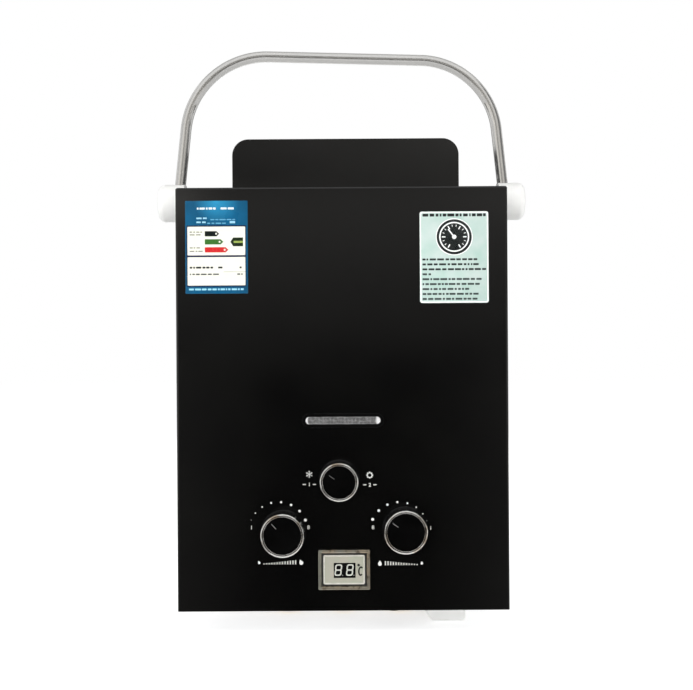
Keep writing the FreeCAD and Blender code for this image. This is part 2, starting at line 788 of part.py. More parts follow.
def tie(drawing, constraint, expression):
    """Add a constraint whose value follows an expression."""
    number = drawing.addConstraint(constraint)
    drawing.setExpression("Constraints[%d]" % number, in_sheet(expression))


def turned_body(name, outline, axis):
    """A body turned about an axis of the sketch, H_Axis or V_Axis, from an outline on XY."""
    body, origin = new_body(name)
    drawing = outline_sketch(body, origin["XY_Plane"], outline)
    turn = body.newObject("PartDesign::Revolution", name + "_turn")
    turn.Profile = drawing
    turn.ReferenceAxis = (drawing, [axis])
    turn.Angle = 360
    doc.recompute()
    return body, origin, turn


def round_edges(body, base, radius, chosen):
    """Fillet a body's edges for which chosen(edge) is true."""
    names = ["Edge%d" % index for index, edge in enumerate(base.Shape.Edges, start=1)
             if chosen(edge)]
    rounding = body.newObject("PartDesign::Fillet", body.Name + "_rounding")
    rounding.Base = (base, names)
    bind(rounding, "Radius", radius)
    body.Tip = rounding


def make_handle_socket(name, side):
    """White plastic drum on the pivot, bored from above for the leg and along for the screw."""
    radius = "socket_diameter/2"
    bore = "(pivot_screw_diameter/2 + running_clearance)"
    seat = "(pivot_cap_diameter/2 + pivot_cap_gap)"
    depth = "(pivot_head_height + pivot_head_room + pivot_cap_thickness)"
    outline = [("0", bore), ("0", radius), ("socket_width", radius), ("socket_width", seat),
               ("socket_width - %s" % depth, seat), ("socket_width - %s" % depth, bore)]
    body, _, turn = turned_body(name + "_drum", outline, "H_Axis")

    def outer_edge(edge):
        return (edge.Curve.TypeId == "Part::GeomCircle"
                and abs(edge.Curve.Radius - size(radius)) < 1e-6
                and abs(edge.CenterOfMass.x - size("socket_width")) < 1e-6)
    round_edges(body, turn, "socket_rounding", outer_edge)
    facing = FreeCAD.Rotation() if side > 0 else FreeCAD.Rotation(Z, 180)
    body.Placement = FreeCAD.Placement(FreeCAD.Vector(), facing)
    bind(body, "Placement.Base.x", "%d*%s" % (side, SOCKET_INNER))
    bind(body, "Placement.Base.y", PIVOT_Y)
    bind(body, "Placement.Base.z", PIVOT_Z)
    leg_bore = doc.addObject("Part::Cylinder", "leg_bore")
    bind(leg_bore, "Radius", "tube_diameter/2 + running_clearance")
    bind(leg_bore, "Height", "socket_diameter")
    leg_bore.Placement = FreeCAD.Placement(leg_end(side), FreeCAD.Rotation(Z, leg_direction(side)))
    node(name, cut(body, leg_bore))


def make_pivots():
    """Screw, nut, washer and cap of both pivots, and the brackets inside the case."""
    screws = []
    washers = []
    caps = []
    brackets = []
    head_seat = ("(%s - pivot_head_height - pivot_head_room - pivot_cap_thickness)"
                 % SOCKET_OUTER)
    bracket_face = "(case_width/2 - 2*sheet_gauge - bracket_gauge)"
    for side in SIDES.values():
        low, high = beside(side, head_seat, "%s + pivot_head_height" % head_seat)
        head = rod("pivot_head_diameter", "x", low, high, PIVOT_Y, PIVOT_Z)
        low, high = beside(side, "%s - pivot_nut_height" % bracket_face, head_seat)
        shank = rod("pivot_screw_diameter", "x", low, high, PIVOT_Y, PIVOT_Z)
        low, high = beside(side, "%s - pivot_nut_height" % bracket_face, bracket_face)
        nut = rod("pivot_nut_diameter", "x", low, high, PIVOT_Y, PIVOT_Z)
        screws.append(fuse(head, shank, nut))
        low, high = beside(side, SIDE, SOCKET_INNER)
        washers.append(cut(rod("washer_diameter", "x", low, high, PIVOT_Y, PIVOT_Z),
                           rod("pivot_screw_diameter + 2*running_clearance", "x",
                               "%s - overcut" % low, "%s + overcut" % high, PIVOT_Y,
                               PIVOT_Z)))
        low, high = beside(side, "%s - pivot_cap_thickness" % SOCKET_OUTER, SOCKET_OUTER)
        disc = rod("pivot_cap_diameter", "x", low, high, PIVOT_Y, PIVOT_Z)
        low, high = beside(side, SOCKET_OUTER, "%s + pivot_cap_dome" % SOCKET_OUTER)
        wide, narrow = "pivot_cap_diameter", "pivot_cap_diameter - 3*pivot_cap_dome"
        dome = cone(wide if side > 0 else narrow, narrow if side > 0 else wide, "x", low, high,
                    PIVOT_Y, PIVOT_Z)
        caps.append(fuse(disc, dome))
        z = ("%s - bracket_height" % TOP_INSIDE, "%s - bracket_top_gap" % TOP_INSIDE)
        arm = box(beside(side, bracket_face, FLANGE_INSIDE),
                  ("%s - washer_diameter/2" % PIVOT_Y, PLATE_FACE), z)
        foot = box(beside(side, "%s - bracket_foot" % bracket_face, FLANGE_INSIDE),
                   ("-sheet_gauge - bracket_gauge", PLATE_FACE), z)
        low, high = beside(side, "%s - overcut" % bracket_face, SIDE_INSIDE)
        brackets.append(cut(fuse(arm, foot), rod("pivot_screw_diameter", "x", low, high,
                                                 PIVOT_Y, PIVOT_Z)))
    node("pivot_screws", group(*screws))
    node("pivot_washers", group(*washers))
    node("pivot_caps", group(*caps))
    node("handle_brackets", group(*brackets))


# ----------------------------------------------------------------------------------------
# Front panel: window, knobs, display, stickers
# ----------------------------------------------------------------------------------------
def make_window():
    """Thin bright rim with a flange behind the panel, and the fine mesh it holds."""
    proud = "(-case_depth - window_rim_proud)"
    sleeve = slot("window_width", "window_height", (proud, FRONT_INSIDE), "window_shift",
                  "window_rise")
    flange = slot("window_width + 2*window_flange", "window_height + 2*window_flange",
                  (FRONT_INSIDE, "%s + window_rim_wall" % FRONT_INSIDE), "window_shift",
                  "window_rise")
    hole = slot("window_width - 2*window_rim_wall", "window_height - 2*window_rim_wall",
                ("%s - overcut" % proud, "%s + 2*window_rim_wall" % FRONT_INSIDE), "window_shift",
                "window_rise")
    node("window_rim", cut(fuse(sleeve, flange), hole))
    node("window_mesh", slot("window_width - 2*window_rim_wall",
                             "window_height - 2*window_rim_wall",
                             (FRONT, "%s + window_mesh_gauge" % FRONT),
                             "window_shift", "window_rise"))


def make_knob(name, diameter, x, z, engagement_face, pointer_angle):
    """A ribbed knob with its bright ring and the shaft that it turns."""
    radius = "(%s)/2" % diameter
    base = "knob_gap"
    face = "(knob_gap + knob_height)"
    ring_inner = "(%s - knob_ring_width)" % radius
    barrel = "(%s - knob_ring_proud)" % radius
    ring_seat = "(%s - knob_ring_height)" % face
    bore = "(shaft_diameter/2)"
    bore_end = "(%s + shaft_grip)" % base
    # outline: distance from the axis, then height above the panel
    outline = [(bore, base),
               ("%s + knob_skirt_step" % radius, base),
               ("%s + knob_skirt_step" % radius, "%s + knob_skirt_height" % base),
               (barrel, "%s + knob_skirt_height + knob_skirt_step" % base),
               (barrel, ring_seat),
               (ring_inner, ring_seat),
               (ring_inner, "%s - knob_face_recess" % face),
               ("0", "%s - knob_face_recess" % face),
               ("0", bore_end),
               (bore, bore_end)]
    body, origin, turn = turned_body(name + "_body", outline, "V_Axis")
    grooves = int(round(size(diameter)))
    groove_sketch = body.newObject("Sketcher::SketchObject", name + "_groove_section")
    groove_sketch.AttachmentSupport = (origin["XZ_Plane"], [""])
    groove_sketch.MapMode = "FlatFace"
    groove_sketch.addGeometry(
        Part.Circle(FreeCAD.Vector(size(barrel), 0, 0), Z, size("knob_groove_radius")), False)
    groove_sketch.addConstraint(Sketcher.Constraint("PointOnObject", 0, 3, -1))
    tie(groove_sketch, Sketcher.Constraint("DistanceX", -1, 1, 0, 3, size(barrel)), barrel)
    tie(groove_sketch, Sketcher.Constraint("Radius", 0, size("knob_groove_radius")),
        "knob_groove_radius")
    bind(groove_sketch, "AttachmentOffset.Base.z",
         "-(%s + knob_skirt_height + knob_skirt_step)" % base)
    groove = body.newObject("PartDesign::Pocket", name + "_groove")
    groove.Profile = groove_sketch
    bind(groove, "Length", "knob_height - knob_skirt_height - knob_skirt_step - knob_ring_height")
    before = body.Shape.Volume
    doc.recompute()
    if body.Shape.Volume > before - 0.01:
        groove.Reversed = True
        doc.recompute()
    pattern = body.newObject("PartDesign::PolarPattern", name + "_grooves")
    pattern.Originals = [groove]
    pattern.Axis = (origin["Y_Axis"], [""])
    pattern.Angle = 360
    pattern.Occurrences = grooves
    body.Tip = pattern
    # the body is drawn standing up along its own Y; half a turn about Z points that to the front
    body.Placement = FreeCAD.Placement(FreeCAD.Vector(), FreeCAD.Rotation(Z, 180))
    bind(body, "Placement.Base.x", x)
    bind(body, "Placement.Base.y", FRONT)
    bind(body, "Placement.Base.z", z)
    front = "(-case_depth - knob_gap - knob_height)"
    # the pointer's groove is drawn straight up from the axis and turned with its group
    upright = box(between(0, "knob_pointer_width"),
                  ("-overcut", "knob_face_recess + knob_pointer_depth"),
                  ("%s - knob_pointer_inset - knob_pointer_length" % ring_inner,
                   "%s - knob_pointer_inset" % ring_inner))
    pointer = group(upright)
    pointer.Placement = FreeCAD.Placement(FreeCAD.Vector(), FreeCAD.Rotation(-Y, 90))
    for letter, place in zip("xyz", (x, front, z)):
        bind(pointer, "Placement.Base." + letter, place)
    bind(pointer, "Placement.Rotation.Angle", "%s - 90" % pointer_angle)
    node(name, cut(body, pointer))
    ring = cut(rod(diameter, "y", front, "%s + knob_ring_height" % front, x, z),
               rod("%s - 2*knob_ring_width" % diameter, "y", "%s - overcut" % front,
                   "%s + knob_ring_height + overcut" % front, x, z))
    node(name + "_ring", ring)
    shaft_front = "(-case_depth - knob_gap - shaft_grip)"
    node(name + "_shaft", rod("shaft_diameter", "y", shaft_front, engagement_face, x, z))


def make_knobs():
    valve_seat = "(%s + shaft_engagement)" % VALVE_FRONT
    season_seat = "(%s + season_engagement)" % VALVE_FRONT
    make_knob("gas_knob", "large_knob_diameter", GAS_X, "gas_knob_z", valve_seat,
              "gas_pointer_angle")
    make_knob("water_knob", "large_knob_diameter", WATER_X, "water_knob_z", valve_seat,
              "water_pointer_angle")
    make_knob("season_knob", "small_knob_diameter", "season_knob_x", "season_knob_z",
              season_seat, "season_pointer_angle")


def make_display():
    """Bright bezel with a sleeve through the panel, the display plate and its board."""
    x_in = between("display_x", "display_width - 2*display_frame")
    z_in = between("display_z", "display_height - 2*display_frame")
    frame = box(between("display_x", "display_width"), ("-case_depth - display_proud", FRONT),
                between("display_z", "display_height"))
    frame = rounded(frame, "corner_radius/2", lambda edge: runs_along(edge, "y"))
    sleeve = box(between("display_x", "display_width - 2*display_gap"),
                 (FRONT, "-case_depth + display_sleeve_depth"),
                 between("display_z", "display_height - 2*display_gap"))
    hole = box(x_in, ("-case_depth - 2*display_proud", FRONT), z_in)
    rear = box(between("display_x", "display_width - 2*display_frame"),
               (FRONT, "-case_depth + display_sleeve_depth + overcut"),
               between("display_z", "display_height - 2*display_frame"))
    node("display_bezel", cut(fuse(frame, sleeve), hole, rear))
    width = "display_width - 2*display_frame - 2*display_gap"
    height = "display_height - 2*display_frame - 2*display_gap"
    lcd_face = "(-case_depth - display_proud + lcd_recess)"
    node("display_plate", box(between("display_x", width),
                              (lcd_face, "%s + lcd_thickness" % lcd_face),
                              between("display_z", height)))
    board_width = "display_width - 2*display_frame - 2*board_gap"
    board_height = "display_height - 2*display_frame - 2*board_gap"
    node("display_board", box(between("display_x", board_width),
                              ("%s + lcd_thickness" % lcd_face,
                               "%s + lcd_thickness + board_depth" % lcd_face),
                              between("display_z", board_height)))


def make_stickers():
    for side, x in (("left", "left_sticker_inset - case_width/2"),
                    ("right", "case_width/2 - right_sticker_inset")):
        name = side + "_sticker"
        node(name, box(between(x, name + "_width"), ("-case_depth - sticker_thickness", FRONT),
                       between("case_height - %s_drop" % name, name + "_height")))


# ----------------------------------------------------------------------------------------
# Burner and gas way
# ----------------------------------------------------------------------------------------
def blade_places():
    """X of each burner blade."""
    count = int(size("blade_count"))
    pitch = "(2*%s - 4*burner_plate_gauge - 2*blade_side_gap)/blade_count" % BURNER_HALF
    return ["%g*%s" % (index - (count - 1) / 2, pitch) for index in range(count)]


def make_burner():
    """Blade burners on two rails in a frame that stands off the back plate."""
    blades = []
    for x in blade_places():
        blade = box(between(x, "blade_thickness"), (MIXER_FRONT, BLADE_REAR),
                    ("blade_bottom", "blade_bottom + blade_height"))
        port = box(between(x, "blade_slot_width"),
                   ("%s + blade_thickness" % MIXER_FRONT, "%s - blade_thickness" % BLADE_REAR),
                   ("blade_bottom + blade_height - blade_slot_depth",
                    "blade_bottom + blade_height + overcut"))
        mixer = rod("mixing_tube_diameter", "y", MIXER_FRONT, "%s + mixing_tube_length"
                    % MIXER_FRONT, x, "season_knob_z")
        web = box(between(x, "blade_thickness/2"),
                  (MIXER_FRONT, "%s + mixing_tube_length" % MIXER_FRONT),
                  ("season_knob_z", "blade_bottom"))
        mouth = rod("mixing_tube_bore", "y", "%s - overcut" % MIXER_FRONT,
                    "%s + mixing_tube_length - mixing_tube_floor" % MIXER_FRONT, x,
                    "season_knob_z")
        blades.append(cut(fuse(blade, mixer, web), port, mouth))
    node("burner_blades", group(*blades))

    plates = [box(beside(side, "%s - 2*burner_plate_gauge" % BURNER_HALF,
                         "%s - burner_plate_gauge" % BURNER_HALF),
                  (VALVE_FRONT, BURNER_REAR), ("burner_bottom", "exchanger_bottom"))
              for side in SIDES.values()]
    inner = "(%s - 2*burner_plate_gauge)" % BURNER_HALF
    rear = box(between(0, "2*%s" % inner), (BLADE_REAR, BURNER_REAR),
               ("burner_bottom", "exchanger_bottom"))
    rail_z = ("blade_bottom - blade_rail_height", "blade_bottom")
    rails = [box(between(0, "2*%s" % inner),
                 ("%s + mixing_tube_length + blade_rail_depth" % MIXER_FRONT,
                  "%s + mixing_tube_length + 2*blade_rail_depth" % MIXER_FRONT), rail_z),
             box(between(0, "2*%s" % inner), ("%s - blade_rail_depth" % BLADE_REAR, BLADE_REAR),
                 rail_z)]
    feet = [box(beside(side, "%s - strap_width" % inner, inner), (BURNER_REAR, PLATE_FACE),
                ("burner_bottom", "burner_bottom + burner_plate_gauge"))
            for side in SIDES.values()]
    node("burner_frame", fuse(*plates, rear, *rails, *feet))


def make_gas_manifold():
    """Square rail across the burner, with the selector's barrel and the nozzles behind."""
    half = "(%s - 2*burner_plate_gauge)" % BURNER_HALF
    rail = box(between(0, "2*%s" % half), (VALVE_FRONT, MANIFOLD_REAR),
               between("season_knob_z", "manifold_height"))
    barrel = rod("shaft_diameter + 2*running_clearance", "y", "%s - overcut" % VALVE_FRONT,
                 "%s + season_engagement + overcut" % VALVE_FRONT, "season_knob_x",
                 "season_knob_z")
    node("gas_manifold", cut(rail, barrel))
    nozzles = [cut(rod("nozzle_diameter", "y", MANIFOLD_REAR, NOZZLE_TIP, x, "season_knob_z"),
                   rod("nozzle_bore", "y", "%s + overcut" % MANIFOLD_REAR,
                       "%s + overcut" % NOZZLE_TIP, x, "season_knob_z"))
               for x in blade_places()]
    node("gas_nozzles", group(*nozzles))


def make_gas_valve():
    """Cast valve body under the manifold, its magnet valve, riser and inlet."""
    top = "(valve_bottom + gas_valve_height)"
    body = box((GAS_VALVE_LEFT, GAS_VALVE_RIGHT), (VALVE_FRONT, "-valve_rear"),
               ("valve_bottom", top))
    body = rounded(body, "casting_radius", lambda edge: runs_along(edge, "y"))
    shaft_bore = rod("shaft_diameter + 2*running_clearance", "y", "%s - overcut" % VALVE_FRONT,
                     "%s + shaft_engagement + overcut" % VALVE_FRONT, GAS_X, "gas_knob_z")
    rod_bore = rod("rod_diameter + 2*running_clearance", "x",
                   "%s - rod_engagement - rod_travel - overcut" % GAS_VALVE_RIGHT,
                   "%s + overcut" % GAS_VALVE_RIGHT, VALVE_AXIS_Y, "water_knob_z")
    node("gas_valve_body", cut(body, shaft_bore, rod_bore))
    node("solenoid_valve", rod("solenoid_diameter", "x", "%s - solenoid_length" % GAS_VALVE_LEFT,
                               GAS_VALVE_LEFT, VALVE_AXIS_Y, "water_knob_z"))
    riser_x = "%s - gas_riser_offset" % GAS_X
    node("gas_riser", cut(rod("gas_riser_diameter", "z", top, "season_knob_z - manifold_height/2",
                              riser_x, RISER_Y),
                          rod("gas_riser_diameter - 2*water_tube_wall", "z",
                              "%s - overcut" % top, "season_knob_z", riser_x, RISER_Y)))
    make_fitting("gas_inlet", GAS_X, "valve_bottom")


def make_fitting(name, x, top):
    """Threaded tail below the case, a collar on the pan and a neck up to what it feeds."""
    tail = rod("thread_diameter", "z", "-fitting_reach + fitting_chamfer",
               "-thread_relief_height", x, FITTING_Y)
    relief = rod("thread_diameter - 2*thread_relief_depth", "z", "-thread_relief_height",
                 "sheet_gauge", x, FITTING_Y)
    tip = cone("thread_diameter - 2*fitting_chamfer", "thread_diameter", "z", "-fitting_reach",
               "-fitting_reach + fitting_chamfer", x, FITTING_Y)
    collar = rod("collar_diameter", "z", "sheet_gauge", "sheet_gauge + collar_height", x,
                 FITTING_Y)
    neck = rod("neck_diameter", "z", "sheet_gauge + collar_height", top, x, FITTING_Y)
    bore = rod("fitting_bore", "z", "-fitting_reach - overcut", "%s - fitting_bore_floor" % top,
               x, FITTING_Y)
    node(name, cut(fuse(tail, tip, relief, collar, neck), bore))


# ----------------------------------------------------------------------------------------
# Water way
# ----------------------------------------------------------------------------------------
def make_exchanger():
    """Copper jacket with a fin pack at the top and one long tube around and through it."""
    x = between(0, "2*%s" % BURNER_HALF)
    jacket = box(x, (SHELL_FRONT, BURNER_REAR), ("exchanger_bottom", SHELL_TOP))
    hollow = box(between(0, "2*(%s - copper_gauge)" % BURNER_HALF),
                 ("%s + copper_gauge" % SHELL_FRONT, "%s - copper_gauge" % BURNER_REAR),
                 ("exchanger_bottom - overcut", "%s + overcut" % SHELL_TOP))
    # the corners are round about the same centres as the coil's bends
    corner = "(water_tube_bend - water_tube_diameter/2 - coil_clearance)"
    jacket = rounded(jacket, corner, lambda edge: runs_along(edge, "z"))
    hollow = rounded(hollow, "%s - copper_gauge" % corner, lambda edge: runs_along(edge, "z"))
    passes = ["%s + pass_pitch" % SHELL_Y, SHELL_Y, "%s - pass_pitch" % SHELL_Y]
    holes = [rod("water_tube_diameter + 2*pass_hole_gap", "x", "-%s - overcut" % BURNER_HALF,
                 "%s + overcut" % BURNER_HALF, y, "pass_height") for y in passes]
    node("exchanger_jacket", cut(jacket, hollow, *holes))

    fins = []
    count = int(size("fin_count"))
    depth = ("%s + copper_gauge + fin_side_gap" % SHELL_FRONT,
             "%s - copper_gauge - fin_side_gap" % BURNER_REAR)
    for index in range(count):
        middle = "%g*%s" % (index - (count - 1) / 2, FIN_PITCH)
        plate = box(between(middle, "fin_gauge"), depth, ("fin_bottom", SHELL_TOP))
        tubes = [rod("water_tube_diameter + 2*fin_hole_gap", "x", "%s - overcut" % middle,
                     "%s + overcut" % middle, y, "pass_height") for y in passes]
        fins.append(cut(plate, *tubes))
    node("exchanger_fins", group(*fins))

    end = "(%s + pass_overrun)" % BURNER_HALF
    start_y = "(%s - coil_start_shift)" % SHELL_Y
    coil_start = "burner_bottom + coil_start_rise"
    left = "(-%s - hot_pipe_shift)" % end
    places = [(COIL_SIDE, start_y, coil_start),
              (COIL_SIDE, start_y, "coil_low"),
              (COIL_SIDE, COIL_FRONT, "coil_low"),
              ("-%s" % COIL_SIDE, COIL_FRONT, "coil_low"),
              ("-%s" % COIL_SIDE, COIL_REAR, "coil_low"),
              (COIL_SIDE, COIL_REAR, "coil_low"),
              (COIL_SIDE, COIL_FRONT, "coil_high"),
              ("-%s" % COIL_SIDE, COIL_FRONT, "coil_high"),
              ("-%s" % COIL_SIDE, COIL_REAR, "coil_high"),
              (COIL_SIDE, COIL_REAR, "coil_high"),
              (end, passes[0], "coil_high + coil_exit_rise"),
              (end, passes[0], "pass_height"),
              ("-%s" % end, passes[0], "pass_height"),
              ("-%s" % end, passes[1], "pass_height"),
              (end, passes[1], "pass_height"),
              (end, passes[2], "pass_height"),
              (left, passes[2], "pass_height"),
              (left, passes[2], "pass_height - hot_pipe_drop")]
    node("exchanger_tube", pipe("water_tube_diameter", "water_tube_wall", places,
                                size("water_tube_bend")))

    node("cold_pipe", pipe("water_tube_diameter", "water_tube_wall",
                           [(WATER_VALVE_RIGHT, start_y, "water_knob_z + cold_pipe_rise"),
                            (COIL_SIDE, start_y, "water_knob_z + cold_pipe_rise"),
                            (COIL_SIDE, start_y, coil_start)],
                           size("water_tube_bend")))
    node("hot_pipe", pipe("water_tube_diameter", "water_tube_wall",
                          [(left, passes[2], "pass_height - hot_pipe_drop"),
                           (left, passes[2], "hot_pipe_level"),
                           ("hot_outlet_x", passes[2], "hot_pipe_level"),
                           ("hot_outlet_x", FITTING_Y, "hot_pipe_level"),
                           ("hot_outlet_x", FITTING_Y, OUTLET_NECK_TOP)],
                          size("water_tube_bend")))

    straps = []
    for side in SIDES.values():
        x = beside(side, "%s - strap_inset - strap_width" % BURNER_HALF,
                   "%s - strap_inset" % BURNER_HALF)
        z = "(coil_low + coil_high)/2"
        web = box(x, (BURNER_REAR, PLATE_FACE), between(z, "strap_gauge"))
        tabs = [box(x, (BURNER_REAR, "%s + strap_gauge" % BURNER_REAR),
                    (z, "%s + strap_height" % z)),
                box(x, ("%s - strap_gauge" % PLATE_FACE, PLATE_FACE),
                    (z, "%s + strap_height" % z))]
        straps.append(fuse(web, *tabs))
    node("exchanger_straps", group(*straps))


def make_water_valve():
    """Cast body with a round diaphragm chamber, whose piston pushes the gas valve open."""
    top = "(valve_bottom + water_valve_height)"
    middle_z = "water_knob_z"
    split = WATER_VALVE_LEFT
    body = box((split, WATER_VALVE_RIGHT), (VALVE_FRONT, "-valve_rear"), ("valve_bottom", top))
    body = rounded(body, "casting_radius", lambda edge: runs_along(edge, "y"))
    flange = rod("chamber_diameter", "x", split, "%s + chamber_flange" % split, VALVE_AXIS_Y,
                 middle_z)
    well = rod("chamber_diameter - 2*chamber_rim", "x", "%s - overcut" % split,
               "%s + chamber_flange - well_floor" % split, VALVE_AXIS_Y, middle_z)
    shaft_bore = rod("shaft_diameter + 2*running_clearance", "y", "%s - overcut" % VALVE_FRONT,
                     "%s + shaft_engagement + overcut" % VALVE_FRONT, WATER_X, middle_z)
    node("water_valve_body", cut(fuse(body, flange), well, shaft_bore))
    node("water_diaphragm", rod("chamber_diameter", "x", "%s - diaphragm_thickness" % split,
                                split, VALVE_AXIS_Y, middle_z))
    cover_right = "(%s - diaphragm_thickness)" % split
    cover_left = "(%s - chamber_cover_depth)" % cover_right
    cover = rod("chamber_diameter", "x", cover_left, cover_right, VALVE_AXIS_Y, middle_z)
    room = rod("chamber_diameter - 2*chamber_rim", "x", "%s + chamber_wall" % cover_left,
               "%s + overcut" % cover_right, VALVE_AXIS_Y, middle_z)
    rod_bore = rod("rod_diameter + 2*running_clearance", "x", "%s - overcut" % cover_left,
                   cover_right, VALVE_AXIS_Y, middle_z)
    node("water_valve_cover", cut(cover, room, rod_bore))
    piston_right = "(%s - piston_gap)" % cover_right
    piston = rod("piston_diameter", "x", "%s - piston_thickness" % piston_right, piston_right,
                 VALVE_AXIS_Y, middle_z)
    stem = rod("rod_diameter", "x", "%s - rod_engagement" % GAS_VALVE_RIGHT, piston_right,
               VALVE_AXIS_Y, middle_z)
    # the collar stands its travel short of the switch's middle
    collar_left = "(%s + switch_width/2 + rod_travel)" % GAS_VALVE_RIGHT
    collar = rod("rod_collar_diameter", "x", collar_left, "%s + rod_collar_width" % collar_left,
                 VALVE_AXIS_Y, middle_z)
    node("push_rod", fuse(piston, stem, collar))
    switch_y = "(%s + rod_collar_diameter/2 + switch_gap)" % VALVE_AXIS_Y
    node("micro_switch", box((GAS_VALVE_RIGHT, "%s + switch_width" % GAS_VALVE_RIGHT),
                             (switch_y, "%s + switch_depth" % switch_y),
                             between(middle_z, "switch_height")))
    make_fitting("cold_inlet", WATER_X, "valve_bottom")
    make_fitting("hot_outlet", "hot_outlet_x", OUTLET_NECK_TOP)
    drain_x = "%s - drain_offset" % WATER_X
    drain_neck = rod("drain_diameter", "z", 0, "valve_bottom", drain_x, "-drain_depth")
    drain_head = rod("drain_knob_diameter", "z", "-drain_reach", "sheet_gauge", drain_x,
                     "-drain_depth")
    node("drain_plug", fuse(drain_neck, drain_head))


# ----------------------------------------------------------------------------------------
# Battery compartment, igniter and electrodes
# ----------------------------------------------------------------------------------------
HINGE_X = "(%s + hinge_offset)" % BOX_RIGHT
HINGE_Z = "(-box_drop)"


def hinge_knuckles():
    """Y of the middle of each of the door's knuckles."""
    middle = "(-box_rear - box_depth/2)"
    return ["%s - box_depth/4" % middle, "%s + box_depth/4" % middle]


def make_battery_box():
    """White box for two upright cells, let down through the pan, with the hinge's three ears."""
    outside = box((BOX_LEFT, BOX_RIGHT), (BOX_FRONT, "-box_rear"), ("-box_drop", "box_top"))
    flange = box(("%s - box_flange" % BOX_LEFT, "%s + box_flange" % BOX_RIGHT),
                 ("%s - box_flange" % BOX_FRONT, "-box_rear + box_flange"),
                 ("sheet_gauge", "sheet_gauge + box_wall"))
    hollow = box(("%s + box_wall" % BOX_LEFT, "%s - box_wall" % BOX_RIGHT),
                 ("%s + box_wall" % BOX_FRONT, "-box_rear - box_wall"),
                 ("-box_drop - overcut", "box_top - box_wall"))
    half = "(hinge_knuckle_length/2 + hinge_arm_gap)"
    front_knuckle, rear_knuckle = hinge_knuckles()
    spans = [(BOX_FRONT, "%s - %s" % (front_knuckle, half)),
             ("%s + %s" % (front_knuckle, half), "%s - %s" % (rear_knuckle, half)),
             ("%s + %s" % (rear_knuckle, half), "-box_rear")]
    ears = []
    for span in spans:
        ears.append(box((BOX_RIGHT, "%s + hinge_knuckle_diameter/2" % HINGE_X), span,
                        (HINGE_Z, 0)))
        ears.append(rod("hinge_knuckle_diameter", "y", span[0], span[1], HINGE_X, HINGE_Z))
    bore = rod("hinge_pin_diameter", "y", "%s - overcut" % BOX_FRONT, "-box_rear + overcut",
               HINGE_X, HINGE_Z)
    node("battery_box", cut(fuse(outside, flange, *ears), hollow, bore))
    node("hinge_pin", rod("hinge_pin_diameter", "y", BOX_FRONT, "-box_rear", HINGE_X, HINGE_Z))


def battery_places():
    """X and Y of both cells."""
    middle = "(-box_rear - box_depth/2)"
    return [(BOX_X, y) for y in between(middle, "battery_diameter + battery_gap")]


CELL_TOP = "(box_top - box_wall - 2*contact_gauge - battery_nub_height - contact_spring_room)"


def make_battery_parts():
    cells = []
    contacts = []
    for x, y in battery_places():
        can = rod("battery_diameter", "z", "%s - battery_height" % CELL_TOP, CELL_TOP, x, y)
        nub = rod("battery_nub_diameter", "z", CELL_TOP, "%s + battery_nub_height" % CELL_TOP, x,
                  y)
        cells.append(fuse(can, nub))
        leaf = rod("battery_diameter/2", "z", "box_top - box_wall - contact_gauge",
                   "box_top - box_wall", x, y)
        spring = rod("contact_spring_diameter", "z", "%s + battery_nub_height" % CELL_TOP,
                     "box_top - box_wall", x, y)
        contacts.append(fuse(leaf, spring))
    node("battery_cells", group(*cells))
    node("battery_contacts", group(*contacts))


def make_battery_door():
    """Tray-like door under the box: slanted on the side of the finger pull, hinged opposite."""
    y = (BOX_FRONT, "-box_rear")
    top = "(-box_drop - door_gap)"
    section = [(BOX_LEFT, top), (BOX_LEFT, "-door_drop + door_slant_height"),
               ("%s + door_slant" % BOX_LEFT, "-door_drop"), (BOX_RIGHT, "-door_drop"),
               (BOX_RIGHT, top)]
    body, origin = new_body("door_block")
    pad = body.newObject("PartDesign::Pad", "door_pad")
    pad.Profile = outline_sketch(body, origin["XZ_Plane"], section)
    body.Tip = pad
    bind(pad, "Length", "box_depth")
    bind(body, "Placement.Base.y", "-box_rear")
    doc.recompute()
    low = size("door_slant_height/2 - door_drop")
    round_edges(body, pad, "door_corner",
                lambda edge: runs_along(edge, "y") and edge.CenterOfMass.z < low)
    contact_top = "(%s - battery_height - contact_lift)" % CELL_TOP
    contact_bottom = "(%s - contact_gauge)" % contact_top
    hollow = box(("%s + box_wall" % BOX_LEFT, "%s - box_wall" % BOX_RIGHT),
                 ("%s + box_wall" % BOX_FRONT, "-box_rear - box_wall"), (contact_bottom, 0))
    knuckles = []
    for y_middle in hinge_knuckles():
        span = between(y_middle, "hinge_knuckle_length")
        barrel = rod("hinge_knuckle_diameter", "y", span[0], span[1], HINGE_X, HINGE_Z)
        leaf = box(("%s - hinge_leaf_root" % BOX_RIGHT, HINGE_X), span,
                   ("%s - hinge_knuckle_diameter/2" % HINGE_Z, "%s - door_gap" % HINGE_Z))
        knuckles += [barrel, leaf]
    bore = rod("hinge_pin_diameter + 2*running_clearance", "y", BOX_FRONT, "-box_rear", HINGE_X,
               HINGE_Z)
    node("battery_door", cut(fuse(cut(body, hollow), *knuckles), bore))
    strip = []
    for x, y_cell in battery_places():
        strip.append(rod("battery_diameter/2", "z", contact_bottom, contact_top, x, y_cell))
    strip.append(box(between(BOX_X, "battery_diameter/4"),
                     between("-box_rear - box_depth/2", "battery_diameter"),
                     (contact_bottom, contact_top)))
    node("door_contact", fuse(*strip))


